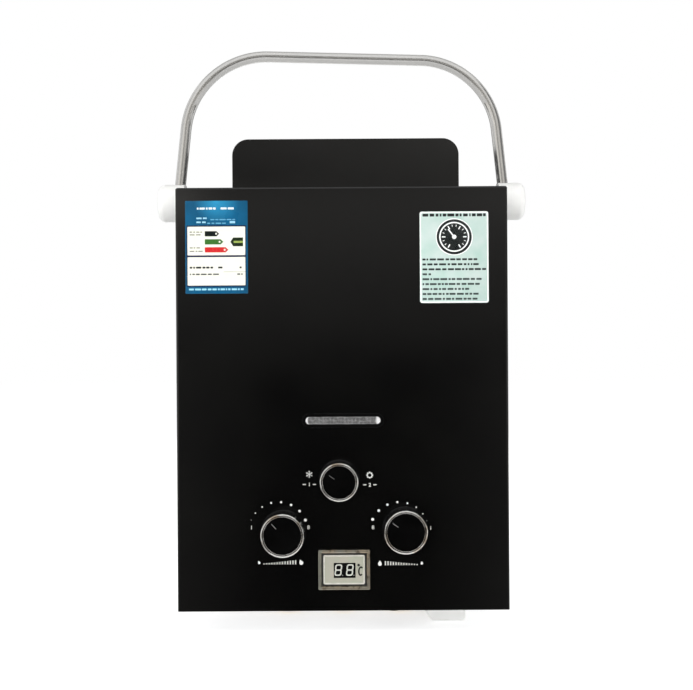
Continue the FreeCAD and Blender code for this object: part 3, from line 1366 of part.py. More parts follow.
def make_igniter():
    """Pulse igniter on the back plate and two electrodes that stand on the manifold."""
    node("igniter_module", rounded(box(between("igniter_inset - case_width/2",
                                               "igniter_width"),
                                       ("-sheet_gauge - igniter_depth", PLATE_FACE),
                                       between("igniter_z", "igniter_height")),
                                   "corner_radius", lambda edge: runs_along(edge, "y")))
    electrodes = []
    foot = "(season_knob_z + manifold_height/2)"
    for x in ("-electrode_x", "electrode_x"):
        ceramic = rod("electrode_diameter", "z", foot, "%s + electrode_height" % foot, x, RISER_Y)
        tip_z = "(%s + electrode_height + electrode_tip_length/2)" % foot
        wire = rod("electrode_tip_diameter", "z", "%s + electrode_height" % foot,
                   "%s + electrode_tip_diameter/2" % tip_z, x, RISER_Y)
        tip = rod("electrode_tip_diameter", "y", RISER_Y, "%s + electrode_tip_length" % RISER_Y,
                  x, tip_z)
        electrodes.append(fuse(ceramic, wire, tip))
    node("electrodes", group(*electrodes))


# ----------------------------------------------------------------------------------------
# Build, check and write
# ----------------------------------------------------------------------------------------
make_back_plate()
make_front_cover()
make_bottom_pan()
make_rain_cap()
make_exhaust_grille()
make_exhaust_hood()
make_case_screws()
make_handle_tube()
for side_name, side_sign in SIDES.items():
    make_handle_socket("handle_socket_" + side_name, side_sign)
make_pivots()
make_window()
make_knobs()
make_display()
make_stickers()
make_burner()
make_gas_manifold()
make_gas_valve()
make_exchanger()
make_water_valve()
make_battery_box()
make_battery_parts()
make_battery_door()
make_igniter()
doc.recompute()

faults = [thing.Label for thing in doc.Objects if "Invalid" in thing.State or "Error" in thing.State]
faults += [name for name, thing in NODES.items() if thing.Shape.isNull() or not thing.Shape.isValid()]
if faults:
    raise RuntimeError("not built: " + ", ".join(faults))

os.makedirs("parts", exist_ok=True)
for name, thing in NODES.items():
    thing.Shape.exportStep("parts/%s.step" % name)
print(len(NODES), "nodes written")
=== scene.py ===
# %% [markdown]
# # A portable propane water heater, built up as a lesson
# The heater is a folded sheet-metal case with knobs, a small display and a tube handle.
# Its solids come from a CAD model, which is loaded first and never moved. Blender then
# gives each solid its finish, and puts finer pieces where the CAD is too plain.

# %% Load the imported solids
import json
import math
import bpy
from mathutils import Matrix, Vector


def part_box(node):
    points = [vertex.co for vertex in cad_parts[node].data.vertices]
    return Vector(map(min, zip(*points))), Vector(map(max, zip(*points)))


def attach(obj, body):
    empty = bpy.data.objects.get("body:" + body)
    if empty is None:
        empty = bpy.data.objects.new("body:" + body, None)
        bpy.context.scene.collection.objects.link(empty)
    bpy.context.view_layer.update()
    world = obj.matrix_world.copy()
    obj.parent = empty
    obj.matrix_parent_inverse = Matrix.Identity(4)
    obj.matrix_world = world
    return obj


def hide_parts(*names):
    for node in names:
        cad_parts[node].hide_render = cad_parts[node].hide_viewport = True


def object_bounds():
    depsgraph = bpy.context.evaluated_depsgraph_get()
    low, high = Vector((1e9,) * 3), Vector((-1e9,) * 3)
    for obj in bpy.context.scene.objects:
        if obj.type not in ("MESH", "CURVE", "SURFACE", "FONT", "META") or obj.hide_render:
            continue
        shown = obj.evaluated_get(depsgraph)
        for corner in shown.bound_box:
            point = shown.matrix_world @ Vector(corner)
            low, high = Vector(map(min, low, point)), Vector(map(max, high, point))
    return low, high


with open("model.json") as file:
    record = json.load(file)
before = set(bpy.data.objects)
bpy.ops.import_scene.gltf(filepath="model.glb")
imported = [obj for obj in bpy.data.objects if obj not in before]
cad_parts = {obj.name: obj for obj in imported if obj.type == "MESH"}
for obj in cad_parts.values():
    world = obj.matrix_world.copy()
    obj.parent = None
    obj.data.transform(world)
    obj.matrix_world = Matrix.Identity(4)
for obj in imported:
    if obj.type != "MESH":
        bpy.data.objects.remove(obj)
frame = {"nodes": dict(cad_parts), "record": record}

from types import SimpleNamespace

import bmesh
import bpy
import numpy as np
from mathutils import Vector

cad_low, cad_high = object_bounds()
print(len(frame["nodes"]), "solids from", cad_low[:], "to", cad_high[:])

# %% [markdown]
# ## Units and places
# Workshop drawings use millimetres and Blender works in metres, so the formulas below are
# in millimetres and one number turns them into metres. A piece takes its place from the
# box of the solid that it belongs to, which keeps the two together if the solid changes.

# %% Places of the solids, in millimetres
MM = 0.001


def node_box(node):
    """Lowest and highest corner of a solid."""
    low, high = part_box(node)
    return np.array(low) / MM, np.array(high) / MM


def on_panel(node):
    """A solid's half width and half height, its middle on the front panel, and how far its
    rear and its front stand off the panel."""
    low, high = node_box(node)
    half, middle = (high - low) / 2, (low + high) / 2
    return (half[0], half[2]), (middle[0], PANEL_Y, middle[2]), PANEL_Y - high[1], PANEL_Y - low[1]


case_low, case_high = node_box("front_cover")
PANEL_Y = case_low[1]
CASE_SIDE, CASE_TOP = case_high[0], case_high[2]
print("panel at", PANEL_Y, "side at", CASE_SIDE, "top at", CASE_TOP)

# %% [markdown]
# ## The camera
# The heater is seen straight from the front at a little under a metre, a little above its
# middle, as in a catalogue. The lens is worked out from the distance and from how wide the
# picture is at the front panel. A small roll is what a hand-held camera leaves.

# %% Camera
CAMERA_PLACE, CAMERA_ROLL = (3.79, -1030, 231.8), 0.37
SENSOR_WIDTH, PICTURE_WIDTH_AT_PANEL = 36, 604.4

camera_data = bpy.data.cameras.new("camera")
camera_data.sensor_width = SENSOR_WIDTH
camera_data.lens = SENSOR_WIDTH * (PANEL_Y - CAMERA_PLACE[1]) / PICTURE_WIDTH_AT_PANEL
camera = bpy.data.objects.new("camera", camera_data)
camera.location = Vector(CAMERA_PLACE) * MM
camera.rotation_euler = (math.radians(90), math.radians(CAMERA_ROLL), 0)
bpy.context.scene.collection.objects.link(camera)
bpy.context.scene.camera = camera
print("lens", round(camera_data.lens, 2), "mm")

# %% [markdown]
# ## Shader helpers
# A material is a small graph. The first two helpers make a node with its values, and either
# set an input or join another node's output to it. The rest are the nodes that turn up most,
# so that each graph reads like a formula.


# %% Nodes and their values
def feed(node, socket, value):
    """Set an input to a number or colour, or join another node's output to it."""
    if isinstance(value, bpy.types.NodeSocket):
        node.id_data.links.new(value, node.inputs[socket])
    else:
        node.inputs[socket].default_value = value


def add_node(tree, kind, inputs=(), **settings):
    """A new node. inputs pairs a socket's name or number with a value or an output."""
    node = tree.nodes.new(kind)
    for name, value in settings.items():
        setattr(node, name, value)
    for socket, value in dict(inputs).items():
        feed(node, socket, value)
    return node


def maths(tree, operation, value, *others):
    """A sum, product or other operation on a value and one or more others in turn."""
    for other in others or (0.0,):
        value = add_node(tree, "ShaderNodeMath", {0: value, 1: other},
                         operation=operation).outputs[0]
    return value


def spread(tree, value, low, high, to_low=0.0, to_high=1.0):
    """Carry the range low to high to another range, with both ends held."""
    return add_node(tree, "ShaderNodeMapRange", {
        "Value": value, "From Min": low, "From Max": high, "To Min": to_low,
        "To Max": to_high}).outputs["Result"]


def blended(tree, mask, first, second):
    """The first colour where the mask is 0 and the second where it is 1."""
    return add_node(tree, "ShaderNodeMix", {0: mask, 6: first, 7: second},
                    data_type="RGBA").outputs[2]


def noise(tree, place, scale, detail):
    """A cloudy value near 0.5, with about scale lumps to the metre and finer ones in them."""
    return add_node(tree, "ShaderNodeTexNoise", {"Vector": place, "Scale": scale,
                                                 "Detail": detail}).outputs[0]


def axes_of(tree, vector):
    """The X, Y and Z of a vector."""
    return add_node(tree, "ShaderNodeSeparateXYZ", {0: vector}).outputs


def object_place(tree):
    """The place of each point of a piece, in metres."""
    return add_node(tree, "ShaderNodeTexCoord").outputs["Object"]


def grey(value):
    """An even grey as a colour."""
    return (value, value, value, 1)


def blank_material(name):
    """A new material and its empty graph."""
    material = bpy.data.materials.new(name)
    material.use_nodes = True
    material.node_tree.nodes.clear()
    return material, material.node_tree


def show(tree, shader, kind="Material"):
    """Join a shader to the output of its graph."""
    add_node(tree, "ShaderNodeOutput" + kind, {"Surface": shader.outputs[0]})


print("helpers ready")

# %% [markdown]
# ## The white surround
# A catalogue picture shows the thing on white. Here the world is white to the camera and
# to mirror-like surfaces, and plainer as a light, so that white plastic isn't washed out.
# The floor keeps a faint shadow: it is a pale matt surface, and what light it lacks to be
# white where nothing shades it is its own, which only the camera and mirrors see. From
# below it isn't there, which leaves the underside of the heater open to view.

# %% World and floor
WORLD_LIGHT, FLOOR_COLOUR = 0.5, 0.85


def ray_is(tree, *kinds):
    """1 for rays of the named kinds, and 0 for the rest."""
    rays = add_node(tree, "ShaderNodeLightPath").outputs
    return maths(tree, "MAXIMUM", *[rays["Is %s Ray" % kind] for kind in kinds])


world = bpy.data.worlds.new("white_surround")
bpy.context.scene.world = world
world.use_nodes = True
tree = world.node_tree
tree.nodes.clear()
strength = spread(tree, ray_is(tree, "Camera", "Glossy", "Transmission"), 0, 1, WORLD_LIGHT, 1.0)
show(tree, add_node(tree, "ShaderNodeBackground", {"Color": grey(1), "Strength": strength}),
     "World")


def flat_card(name, corner, width, depth, material):
    """A card of the set, from a corner along two edges. It isn't part of the heater."""
    corner, width, depth = Vector(corner), Vector(width), Vector(depth)
    mesh = bpy.data.meshes.new(name)
    mesh.from_pydata([point * MM for point in (corner, corner + width, corner + width + depth,
                                               corner + depth)], [], [(0, 1, 2, 3)])
    mesh.materials.append(material)
    card = bpy.data.objects.new(name, mesh)
    bpy.context.scene.collection.objects.link(card)
    return card


floor_finish, tree = blank_material("pale_floor")
matt = add_node(tree, "ShaderNodeBsdfDiffuse", {"Color": grey(FLOOR_COLOUR)})
own_light = maths(tree, "MULTIPLY", ray_is(tree, "Camera", "Glossy"),
                  1 - FLOOR_COLOUR * WORLD_LIGHT)
glow = add_node(tree, "ShaderNodeEmission", {"Color": grey(1), "Strength": own_light})
both = add_node(tree, "ShaderNodeAddShader", {0: matt.outputs[0], 1: glow.outputs[0]})
unseen = add_node(tree, "ShaderNodeBsdfTransparent")
from_below = add_node(tree, "ShaderNodeNewGeometry").outputs["Backfacing"]
show(tree, add_node(tree, "ShaderNodeMixShader", {0: from_below, 1: both.outputs[0],
                                                  2: unseen.outputs[0]}))

FLOOR_Z, REACH = cad_low[2] / MM - 0.2, 6000
flat_card("floor", (-REACH, -REACH, FLOOR_Z), (2 * REACH, 0, 0), (0, 2 * REACH, 0), floor_finish)
bpy.context.scene.view_settings.view_transform = "Standard"
print("floor at", round(FLOOR_Z, 1), "mm")

# %% [markdown]
# ## Lamps and a graded card
# Satin black only shows what it mirrors. A photographer stands a graded card opposite it,
# dark in the middle and below, and pale to the sides and above, so that the panel runs from
# a soft sheen at its top and sides to deep black lower down. Grey cards behind, beside and
# over it give bright tube and trim darker lines against the white. Only mirror-like surfaces
# see the cards.
# The lamps are broad and soft and aren't seen in reflections, which hold the white surround
# and the cards alone, so that no lamp leaves a burnt-out streak on the tube.


# %% Lamps
HEATER_MIDDLE = Vector((0, -65, 220))
LAMPS = (("top_lamp", (-250, -900, 1500), 1600, 1000, 8),
         ("left_lamp", (-1500, -700, 500), 900, 1200, 7),
         ("right_lamp", (1500, -500, 500), 900, 1200, 5),
         ("rear_lamp", (300, 1500, 900), 900, 900, 9),
         ("front_lamp", (0, -1700, 60), 1500, 700, 20))
for name, place, width, height, power in LAMPS:
    data = bpy.data.lights.new(name, "AREA")
    data.shape = "RECTANGLE"
    data.size, data.size_y, data.energy = width * MM, height * MM, power
    lamp = bpy.data.objects.new(name, data)
    lamp.location = Vector(place) * MM
    lamp.rotation_euler = (HEATER_MIDDLE - Vector(place)).to_track_quat("-Z", "Y").to_euler()
    lamp.visible_glossy = False
    bpy.context.scene.collection.objects.link(lamp)
print("lamps", [lamp[0] for lamp in LAMPS])

# %% Graded card
# The panel mirrors the camera to a point as far behind it. Seen from there, the card's tone
# goes by how far out to the side a point lies for its distance, and by how high it is. Its
# mat on the floor is dark at the panel's low angle, and as pale as the floor from steeply
# above, which is how the tube sees it. The part that the rain cap mirrors starts darker
# and grows paler upwards and to the right, and a bright corner gives the panel a glint.
# Beyond what the panel and the cap mirror, the card is pale for the legs of the tube, and
# over the cap's part it is dark, which draws the dark line along the tube's top run. A
# small pale card just over the rain cap keeps the black case out of the tube's underside.
CARD_Y, CARD_TOP, CARD_HALF, MAT_EDGE = -2300, 1500, 2600, -140
card_finish, tree = blank_material("graded_card")
X, Y, Z = axes_of(tree, object_place(tree))
away = maths(tree, "SUBTRACT", (2 * PANEL_Y - CAMERA_PLACE[1]) * MM, Y)
aside = maths(tree, "DIVIDE", maths(tree, "ABSOLUTE", X), away)
tone = maths(tree, "MAXIMUM", spread(tree, aside, 0.08, 0.32, 0.0, 0.34),
             spread(tree, Z, 0.12, 0.66, 0.0, 0.43))
high_up = spread(tree, Z, 0.55, 0.68)
to_right = maths(tree, "MULTIPLY", high_up, spread(tree, X, 0.22, 0.45, 0.0, 0.16))
to_left = maths(tree, "MULTIPLY", high_up, spread(tree, X, -0.38, -0.46, 0.0, 0.8))
above = maths(tree, "MULTIPLY", spread(tree, Z, 0.72, 0.85, 0.12, 0.55),
              spread(tree, X, -0.35, 0.35, 0.75, 1.35), spread(tree, Z, 0.90, 0.97, 1.0, 0.12))
over_panel = spread(tree, Z, 0.705, 0.725)
tone = maths(tree, "MULTIPLY", maths(tree, "ADD", tone, to_right, to_left),
             maths(tree, "SUBTRACT", 1, over_panel))
tone = maths(tree, "ADD", tone, maths(tree, "MULTIPLY", above, over_panel))
beyond_left = spread(tree, X, -0.55, -1.0, 0.0, 0.9)
beyond_right = maths(tree, "MULTIPLY", spread(tree, X, 0.55, 0.9, 0.0, 0.75),
                     spread(tree, X, 1.2, 1.8, 1.0, 0.35))
beside_cap = maths(tree, "MULTIPLY", spread(tree, Z, 0.74, 0.80),
                   spread(tree, maths(tree, "ABSOLUTE", X), 0.38, 0.5, 0.0, 0.65))
tone = maths(tree, "MAXIMUM", tone, beyond_left, beyond_right, beside_cap)
colour = blended(tree, tone, (0.010, 0.009, 0.007, 1), (1.06, 1.03, 0.98, 1))
steep = spread(tree, add_node(tree, "ShaderNodeLayerWeight").outputs["Facing"], 0.66, 0.5)
lying = spread(tree, Z, (FLOOR_Z + 1.4) * MM, (FLOOR_Z + 1.2) * MM)
show(tree, add_node(tree, "ShaderNodeMixShader", {
    0: maths(tree, "MULTIPLY", steep, lying),
    1: add_node(tree, "ShaderNodeEmission", {"Color": colour}).outputs[0],
    2: add_node(tree, "ShaderNodeEmission", {"Color": grey(0.95)}).outputs[0]}))


def grey_finish(name, tone):
    """A material that glows in an even grey."""
    material, tree = blank_material(name)
    show(tree, add_node(tree, "ShaderNodeEmission", {"Color": grey(tone)}))
    return material


low, across = FLOOR_Z + 1, (2 * CARD_HALF, 0, 0)
for name, corner, width, depth, tone in (
        ("graded_card", (-CARD_HALF, CARD_Y, low), across, (0, 0, CARD_TOP - low), None),
        ("graded_mat", (-CARD_HALF, CARD_Y, low), across, (0, MAT_EDGE - CARD_Y, 0), None),
        ("rear_card", (-CARD_HALF, 2300, low), across, (0, 0, 1900 - low), 0.35),
        ("top_card", (-CARD_HALF, -100, 3000), across, (0, 2400, 0), 0.58),
        ("side_card", (-2400, -1700, 350), (0, 2200, 0), (0, 0, 2150), 0.7),
        ("side_card", (2000, -1700, 350), (0, 2200, 0), (0, 0, 2150), 0.16),
        ("small_card", (-130, -110, 455), (260, 0, 0), (0, 105, 0), 0.75)):
    card = flat_card(name, corner, width, depth, grey_finish(name, tone) if tone else card_finish)
    card.visible_camera = card.visible_diffuse = card.visible_shadow = False
    card.visible_transmission = False
print("card up to", CARD_TOP, "mm")

# %% [markdown]
# ## Effects that several finishes share
# Fine grain, brushed lines, rubbed edges and dust turn up on many surfaces. Each is built
# once as a group of nodes which gives only masks, heights and normals. Every finish then
# places the group with its own amounts, as a painter mixes from the same few pots.


# %% A group with named inputs and outputs
def effect(name, inputs, outputs):
    """An empty group: inputs pairs names with usual values, outputs pairs names with kinds."""
    group = bpy.data.node_groups.new(name, "ShaderNodeTree")
    for label, value in inputs.items():
        kind = "NodeSocketVector" if isinstance(value, tuple) else "NodeSocketFloat"
        socket = group.interface.new_socket(label, in_out="INPUT", socket_type=kind)
        socket.default_value = value
    for label, kind in outputs.items():
        group.interface.new_socket(label, in_out="OUTPUT", socket_type="NodeSocket" + kind)
    return group, group.nodes.new("NodeGroupInput").outputs, group.nodes.new("NodeGroupOutput")


def placed(tree, group, **inputs):
    """Place a group in a material, where names with spaces are written with underscores."""
    node = tree.nodes.new("ShaderNodeGroup")
    node.node_tree = group
    for label, value in inputs.items():
        feed(node, label.replace("_", " "), value)
    return node.outputs


print("groups can be built")

# %% [markdown]
# ## Fine grain and mottling
# Powder coat has an orange-peel surface with bumps under a millimetre across, and moulded
# plastic has a finer one. A noise at that scale gives the height. A second, broad noise
# gives the mottling that keeps a large sheet from looking the same all over.

# %% Fine grain
GRAIN, given, result = effect("fine_grain", {"Place": (0.0, 0.0, 0.0), "Grain Scale": 1200.0,
                                             "Mottle Scale": 22.0},
                              {"Height": "Float", "Mottle": "Float"})
feed(result, "Height", noise(GRAIN, given["Place"], given["Grain Scale"], 3.0))
broad = noise(GRAIN, given["Place"], given["Mottle Scale"], 5.0)
feed(result, "Mottle", spread(GRAIN, broad, 0.3, 0.7))
print("fine grain:", len(GRAIN.nodes), "nodes")

# %% [markdown]
# ## Brushed lines
# A brushed or drawn metal shows lines that run one way. A noise that is squeezed across the
# lines and stretched along them does this. The stretch is a vector, so a finish can turn
# the lines along any of the three axes.

# %% Brushed lines
BRUSHED, given, result = effect("brushed_lines", {"Place": (0.0, 0.0, 0.0),
                                                  "Stretch": (1.0, 1.0, 0.02), "Scale": 3000.0},
                                {"Lines": "Float", "Streaks": "Float"})
squeezed = add_node(BRUSHED, "ShaderNodeVectorMath", {0: given["Place"], 1: given["Stretch"]},
                    operation="MULTIPLY").outputs[0]
feed(result, "Lines", noise(BRUSHED, squeezed, given["Scale"], 2.0))
streaks = noise(BRUSHED, squeezed, maths(BRUSHED, "MULTIPLY", given["Scale"], 0.12), 4.0)
feed(result, "Streaks", spread(BRUSHED, streaks, 0.3, 0.7))
print("brushed lines:", len(BRUSHED.nodes), "nodes")

# %% [markdown]
# ## Edges
# No made edge is perfectly sharp. The Bevel node gives the normal that a slightly rounded
# edge would have, and where it differs from the true one there is an edge. That difference,
# broken up by noise, is where paint rubs thin and bare metal starts to show.

# %% Rounded and rubbed edges
EDGES, given, result = effect("edge_wear", {"Place": (0.0, 0.0, 0.0), "Width": 0.0006,
                                            "Patch Scale": 90.0, "Amount": 0.5},
                              {"Worn": "Float", "Rounded": "Vector"})
rounded = add_node(EDGES, "ShaderNodeBevel", {"Radius": given["Width"]}, samples=4)
true_normal = add_node(EDGES, "ShaderNodeNewGeometry").outputs["Normal"]
alike = add_node(EDGES, "ShaderNodeVectorMath", {0: rounded.outputs[0], 1: true_normal},
                 operation="DOT_PRODUCT").outputs["Value"]
edge = spread(EDGES, alike, 0.995, 0.8)
patches = spread(EDGES, noise(EDGES, given["Place"], given["Patch Scale"], 6.0), 0.42, 0.62)
feed(result, "Worn", maths(EDGES, "MULTIPLY", edge, patches, given["Amount"]))
feed(result, "Rounded", rounded.outputs[0])
print("edges:", len(EDGES.nodes), "nodes")

# %% [markdown]
# ## Dust
# Dust settles on what faces up and stays in a thin, uneven film. The mask is how far the
# surface faces up, times a noise.

# %% Dust on upward faces
DUST, given, result = effect("dust", {"Place": (0.0, 0.0, 0.0), "Amount": 0.2},
                             {"Film": "Float"})
upward = axes_of(DUST, add_node(DUST, "ShaderNodeNewGeometry").outputs["Normal"])["Z"]
flecks = noise(DUST, given["Place"], 160.0, 8.0)
feed(result, "Film", maths(DUST, "MULTIPLY", spread(DUST, upward, 0.3, 1.0),
                           spread(DUST, flecks, 0.35, 0.75), given["Amount"]))
print("dust:", len(DUST.nodes), "nodes")

# %% [markdown]
# ## A finish from these effects
# Most of the heater's finishes are the same recipe with other amounts: two close colours
# mixed by the mottling, a rubbed colour on the edges, a film of dust, and a bump from the
# grain. The recipe is one function. What it returns lets a special finish add more, most
# often one more colour over the others, where a mask of its own says so.

# %% The common recipe
FINISHES = {}
DUST_COLOUR = (0.32, 0.31, 0.29, 1)


def finish(name, colour, shade, roughness, metallic=0.0, specular=0.5,
           texture=(0.8, 0.015, 45.0), rubbed=None, rub_width=0.6, rub=0.5, dust=0.1, swing=0.05):
    """A material in millimetres. Its texture is the grain's size and height and the mottling's
    size. Roughness swings either way with the mottling."""
    grain_size, grain_height, mottle_size = texture
    FINISHES[name], tree = blank_material(name)
    place = object_place(tree)
    grain = placed(tree, GRAIN, Place=place, Grain_Scale=1 / (grain_size * MM),
                   Mottle_Scale=1 / (mottle_size * MM))
    edges = placed(tree, EDGES, Place=place, Width=rub_width * MM, Amount=rub)
    base = blended(tree, grain["Mottle"], colour, shade)
    if rubbed is not None:
        base = blended(tree, edges["Worn"], base, rubbed)
    if dust:
        base = blended(tree, placed(tree, DUST, Place=place, Amount=dust)["Film"], base,
                       DUST_COLOUR)
    bump = add_node(tree, "ShaderNodeBump", {"Strength": 1.0, "Distance": grain_height * MM,
                                             "Height": grain["Height"],
                                             "Normal": edges["Rounded"]})
    shader = add_node(tree, "ShaderNodeBsdfPrincipled",
                      {"Base Color": base, "Metallic": metallic, "Specular IOR Level": specular,
                       "Roughness": spread(tree, grain["Mottle"], 0, 1, roughness - swing,
                                           roughness + swing),
                       "Normal": bump.outputs[0]})
    show(tree, shader)
    return SimpleNamespace(tree=tree, place=place, shader=shader, bump=bump, grain=grain,
                           edges=edges)


def tint(made, mask, colour):
    """Lay one more colour over a finish's own, as far as the mask goes."""
    base = made.shader.inputs["Base Color"].links[0].from_socket
    feed(made.shader, "Base Color", blended(made.tree, mask, base, colour))


print("the recipe is ready")

# %% [markdown]
# ## Powder coat
# The case is sheet steel with a satin black powder coat. Under the orange peel the sheet
# itself is never quite flat, so a broad, very shallow wave bends the reflections a little.
# The wave is a second bump that the orange peel rides on.

# %% Black powder coat
coat = finish("black_powder_coat", (0.0018, 0.0018, 0.0019, 1), (0.0025, 0.0025, 0.0023, 1),
              0.125, specular=0.5, texture=(0.9, 0.004, 60), rubbed=grey(0.06), rub_width=0.7,
              rub=0.35, dust=0.04, swing=0.03)
sheet_wave = add_node(coat.tree, "ShaderNodeBump", {
    "Strength": 1.0, "Distance": 0.12 * MM, "Height": noise(coat.tree, coat.place, 9.0, 1.0),
    "Normal": coat.edges["Rounded"]})
feed(coat.bump, "Normal", sheet_wave.outputs[0])
print("powder coat:", len(coat.tree.nodes), "nodes")

# %% [markdown]
# ## Bare steels
# Galvanised sheet shows spangle, the flat crystals of its zinc, each with its own grey and
# its own gloss. A Voronoi pattern has one value per cell, which is just that. The tube and
# the small hardware are drawn and rolled steel, with lines along them.

# %% Galvanised steel
zinc = finish("galvanised_steel", grey(0.40), grey(0.46), 0.42, metallic=1.0,
              texture=(1.5, 0.006, 30), rubbed=grey(0.62), rub=0.4, dust=0.15)
cells = add_node(zinc.tree, "ShaderNodeTexVoronoi", {"Vector": zinc.place, "Scale": 130.0})
spangle = add_node(zinc.tree, "ShaderNodeSeparateColor", {0: cells.outputs["Color"]}).outputs[0]
tint(zinc, spread(zinc.tree, spangle, 0, 1, 0.0, 0.55), (0.62, 0.63, 0.65, 1))
feed(zinc.shader, "Roughness", spread(zinc.tree, spangle, 0, 1, 0.3, 0.5))
print("galvanised steel:", len(zinc.tree.nodes), "nodes")


# %% Steel with lines, for the tube and the screws
def lined_metal(name, colour, shade, roughness, stretch, attribute=None, swing=0.06,
                height=0.002, **others):
    """The common recipe in metal, with brushed lines in its bump and its roughness."""
    made = finish(name, colour, shade, roughness, metallic=1.0, **others)
    place = made.place
    if attribute:
        place = add_node(made.tree, "ShaderNodeAttribute",
                         attribute_name=attribute).outputs["Vector"]
    lines = placed(made.tree, BRUSHED, Place=place, Stretch=stretch)
    feed(made.shader, "Roughness", spread(made.tree, lines["Streaks"], 0, 1, roughness - swing,
                                          roughness + swing))
    feed(made.bump, "Height", lines["Lines"])
    feed(made.bump, "Distance", height * MM)
    return made


tube = lined_metal("stainless_tube", (0.60, 0.595, 0.58, 1), (0.66, 0.65, 0.63, 1), 0.21,
                   (1.0, 1.0, 0.01), attribute="grain", swing=0.04, height=0.0009, dust=0.02)
feed(tube.shader, "Metallic", 0.92)
lined_metal("steel_hardware", grey(0.52), grey(0.60), 0.30, (1.0, 0.05, 1.0),
            texture=(0.3, 0.015, 45.0), rubbed=grey(0.75), dust=0.05)
chrome = lined_metal("chrome_trim", (0.90, 0.885, 0.855, 1), (0.95, 0.94, 0.91, 1), 0.13,
                     (1.0, 0.05, 1.0), height=0.0008, swing=0.03, dust=0.0)
# Painted reflection: broad tan patches, laid over the chrome's colour by a noise, stand in for
# warm reflections on the rings.
painted_reflection_patches = noise(chrome.tree, chrome.place, 62.0, 2.0)
tint(chrome, spread(chrome.tree, painted_reflection_patches, 0.50, 0.66, 0, 0.75), (0.46, 0.34, 0.22, 1))
lined_metal("copper", (0.72, 0.33, 0.20, 1), (0.55, 0.25, 0.15, 1), 0.27, (1.0, 1.0, 0.1),
            rubbed=(0.85, 0.50, 0.36, 1), dust=0.05)
lined_metal("brass", (0.66, 0.47, 0.20, 1), (0.74, 0.56, 0.28, 1), 0.28, (0.1, 1.0, 1.0),
            rubbed=(0.85, 0.70, 0.42, 1), dust=0.05)
print("metals:", list(FINISHES))

# %% [markdown]
# ## Cast, heated and plated metal
# The valve bodies are die-cast alloy with a dull, grainy skin. The burner's stainless steel
# has straw and blue heat tints, which a broad noise lays over it in clouds.

# %% Cast alloy and burner steel
finish("cast_alloy", grey(0.42), grey(0.50), 0.48, metallic=1.0, texture=(0.6, 0.03, 15),
       rubbed=grey(0.68), dust=0.1)
burner = finish("burner_steel", (0.50, 0.46, 0.40, 1), (0.42, 0.36, 0.30, 1), 0.35, metallic=1.0,
                texture=(0.5, 0.005, 18), rubbed=grey(0.6), dust=0.05)
heat = noise(burner.tree, burner.place, 25.0, 3.0)
tint(burner, spread(burner.tree, heat, 0.5, 0.7), (0.22, 0.24, 0.38, 1))
print("burner steel:", len(burner.tree.nodes), "nodes")

# %% [markdown]
# ## Plastics, rubber and ceramic
# Moulded plastic has a fine spark-eroded texture that takes the shine down. Its edges rub
# shiny and a little paler. Rubber is duller and holds more dust, and ceramic is smooth
# with small dark specks from the kiln.

# %% Plastics and the rest
finish("white_plastic", (0.89, 0.89, 0.87, 1), (0.86, 0.86, 0.84, 1), 0.38,
       texture=(0.35, 0.006, 25), rubbed=(0.82, 0.81, 0.79, 1), rub=0.3, dust=0.03)
finish("black_plastic", grey(0.0010), grey(0.0014), 0.21, specular=0.17, texture=(0.4, 0.010, 20),
       rubbed=grey(0.045), rub=0.5, dust=0.03)
finish("black_rubber", grey(0.022), grey(0.030), 0.62, texture=(0.5, 0.02, 12), rubbed=grey(0.05),
       dust=0.2)
ceramic = finish("white_ceramic", (0.80, 0.78, 0.73, 1), (0.76, 0.73, 0.67, 1), 0.2,
                 texture=(1.2, 0.004, 10), dust=0.04)
specks = noise(ceramic.tree, ceramic.place, 1400.0, 1.0)
tint(ceramic, spread(ceramic.tree, specks, 0.68, 0.74), (0.20, 0.16, 0.12, 1))
finish("mesh_metal", grey(0.33), grey(0.42), 0.42, metallic=1.0, texture=(0.3, 0.01, 3),
       rubbed=grey(0.6), rub_width=0.1, dust=0.1)
print("plastics:", list(FINISHES)[-5:])

# %% [markdown]
# ## The circuit board and the cells
# The board is green lacquer over copper tracks, which look paler: the joints of a brick
# pattern. The cells have a plain wrapper, dark below a height and orange above it.

# %% Circuit board and battery jacket
board = finish("circuit_board", (0.012, 0.075, 0.030, 1), (0.010, 0.060, 0.026, 1), 0.3,
               texture=(0.4, 0.004, 8), rubbed=(0.25, 0.22, 0.12, 1), dust=0.05)
tracks = add_node(board.tree, "ShaderNodeTexBrick", {
    "Vector": board.place, "Scale": 260.0, "Color1": grey(0), "Color2": grey(0),
    "Mortar": grey(1), "Mortar Size": 0.03, "Brick Width": 0.9, "Row Height": 0.35})
tint(board, tracks.outputs["Fac"], (0.03, 0.15, 0.06, 1))
jacket = finish("battery_jacket", (0.02, 0.022, 0.026, 1), (0.028, 0.03, 0.034, 1), 0.25,
                texture=(0.5, 0.003, 10), dust=0.0)
BAND_Z = 38.5
upper = spread(jacket.tree, axes_of(jacket.tree, jacket.place)["Z"], BAND_Z * MM,
               (BAND_Z + 0.2) * MM)
tint(jacket, upper, (0.55, 0.30, 0.06, 1))
print("finishes:", len(FINISHES))

# %% [markdown]
# ## Dress the solids
# The record names a finish for every solid. Each solid keeps its shape and place, and only
# its material changes. New pieces that come later take over from some of them.

# %% Give every solid its finish
slot_of = {part["node"]: part["material_slot"] for part in frame["record"]["subparts"]}
for node, solid in frame["nodes"].items():
    solid.data.materials.clear()
    solid.data.materials.append(FINISHES.get(slot_of[node], FINISHES["white_plastic"]))
print(len(slot_of), "solids dressed")

# %% [markdown]
# ## Helpers for new pieces
# A new piece is a grid of points worked out by a formula, with quads between them. The
# points are in millimetres on a plan of two directions and a height, and are then laid
# onto the side of the heater where the piece belongs.


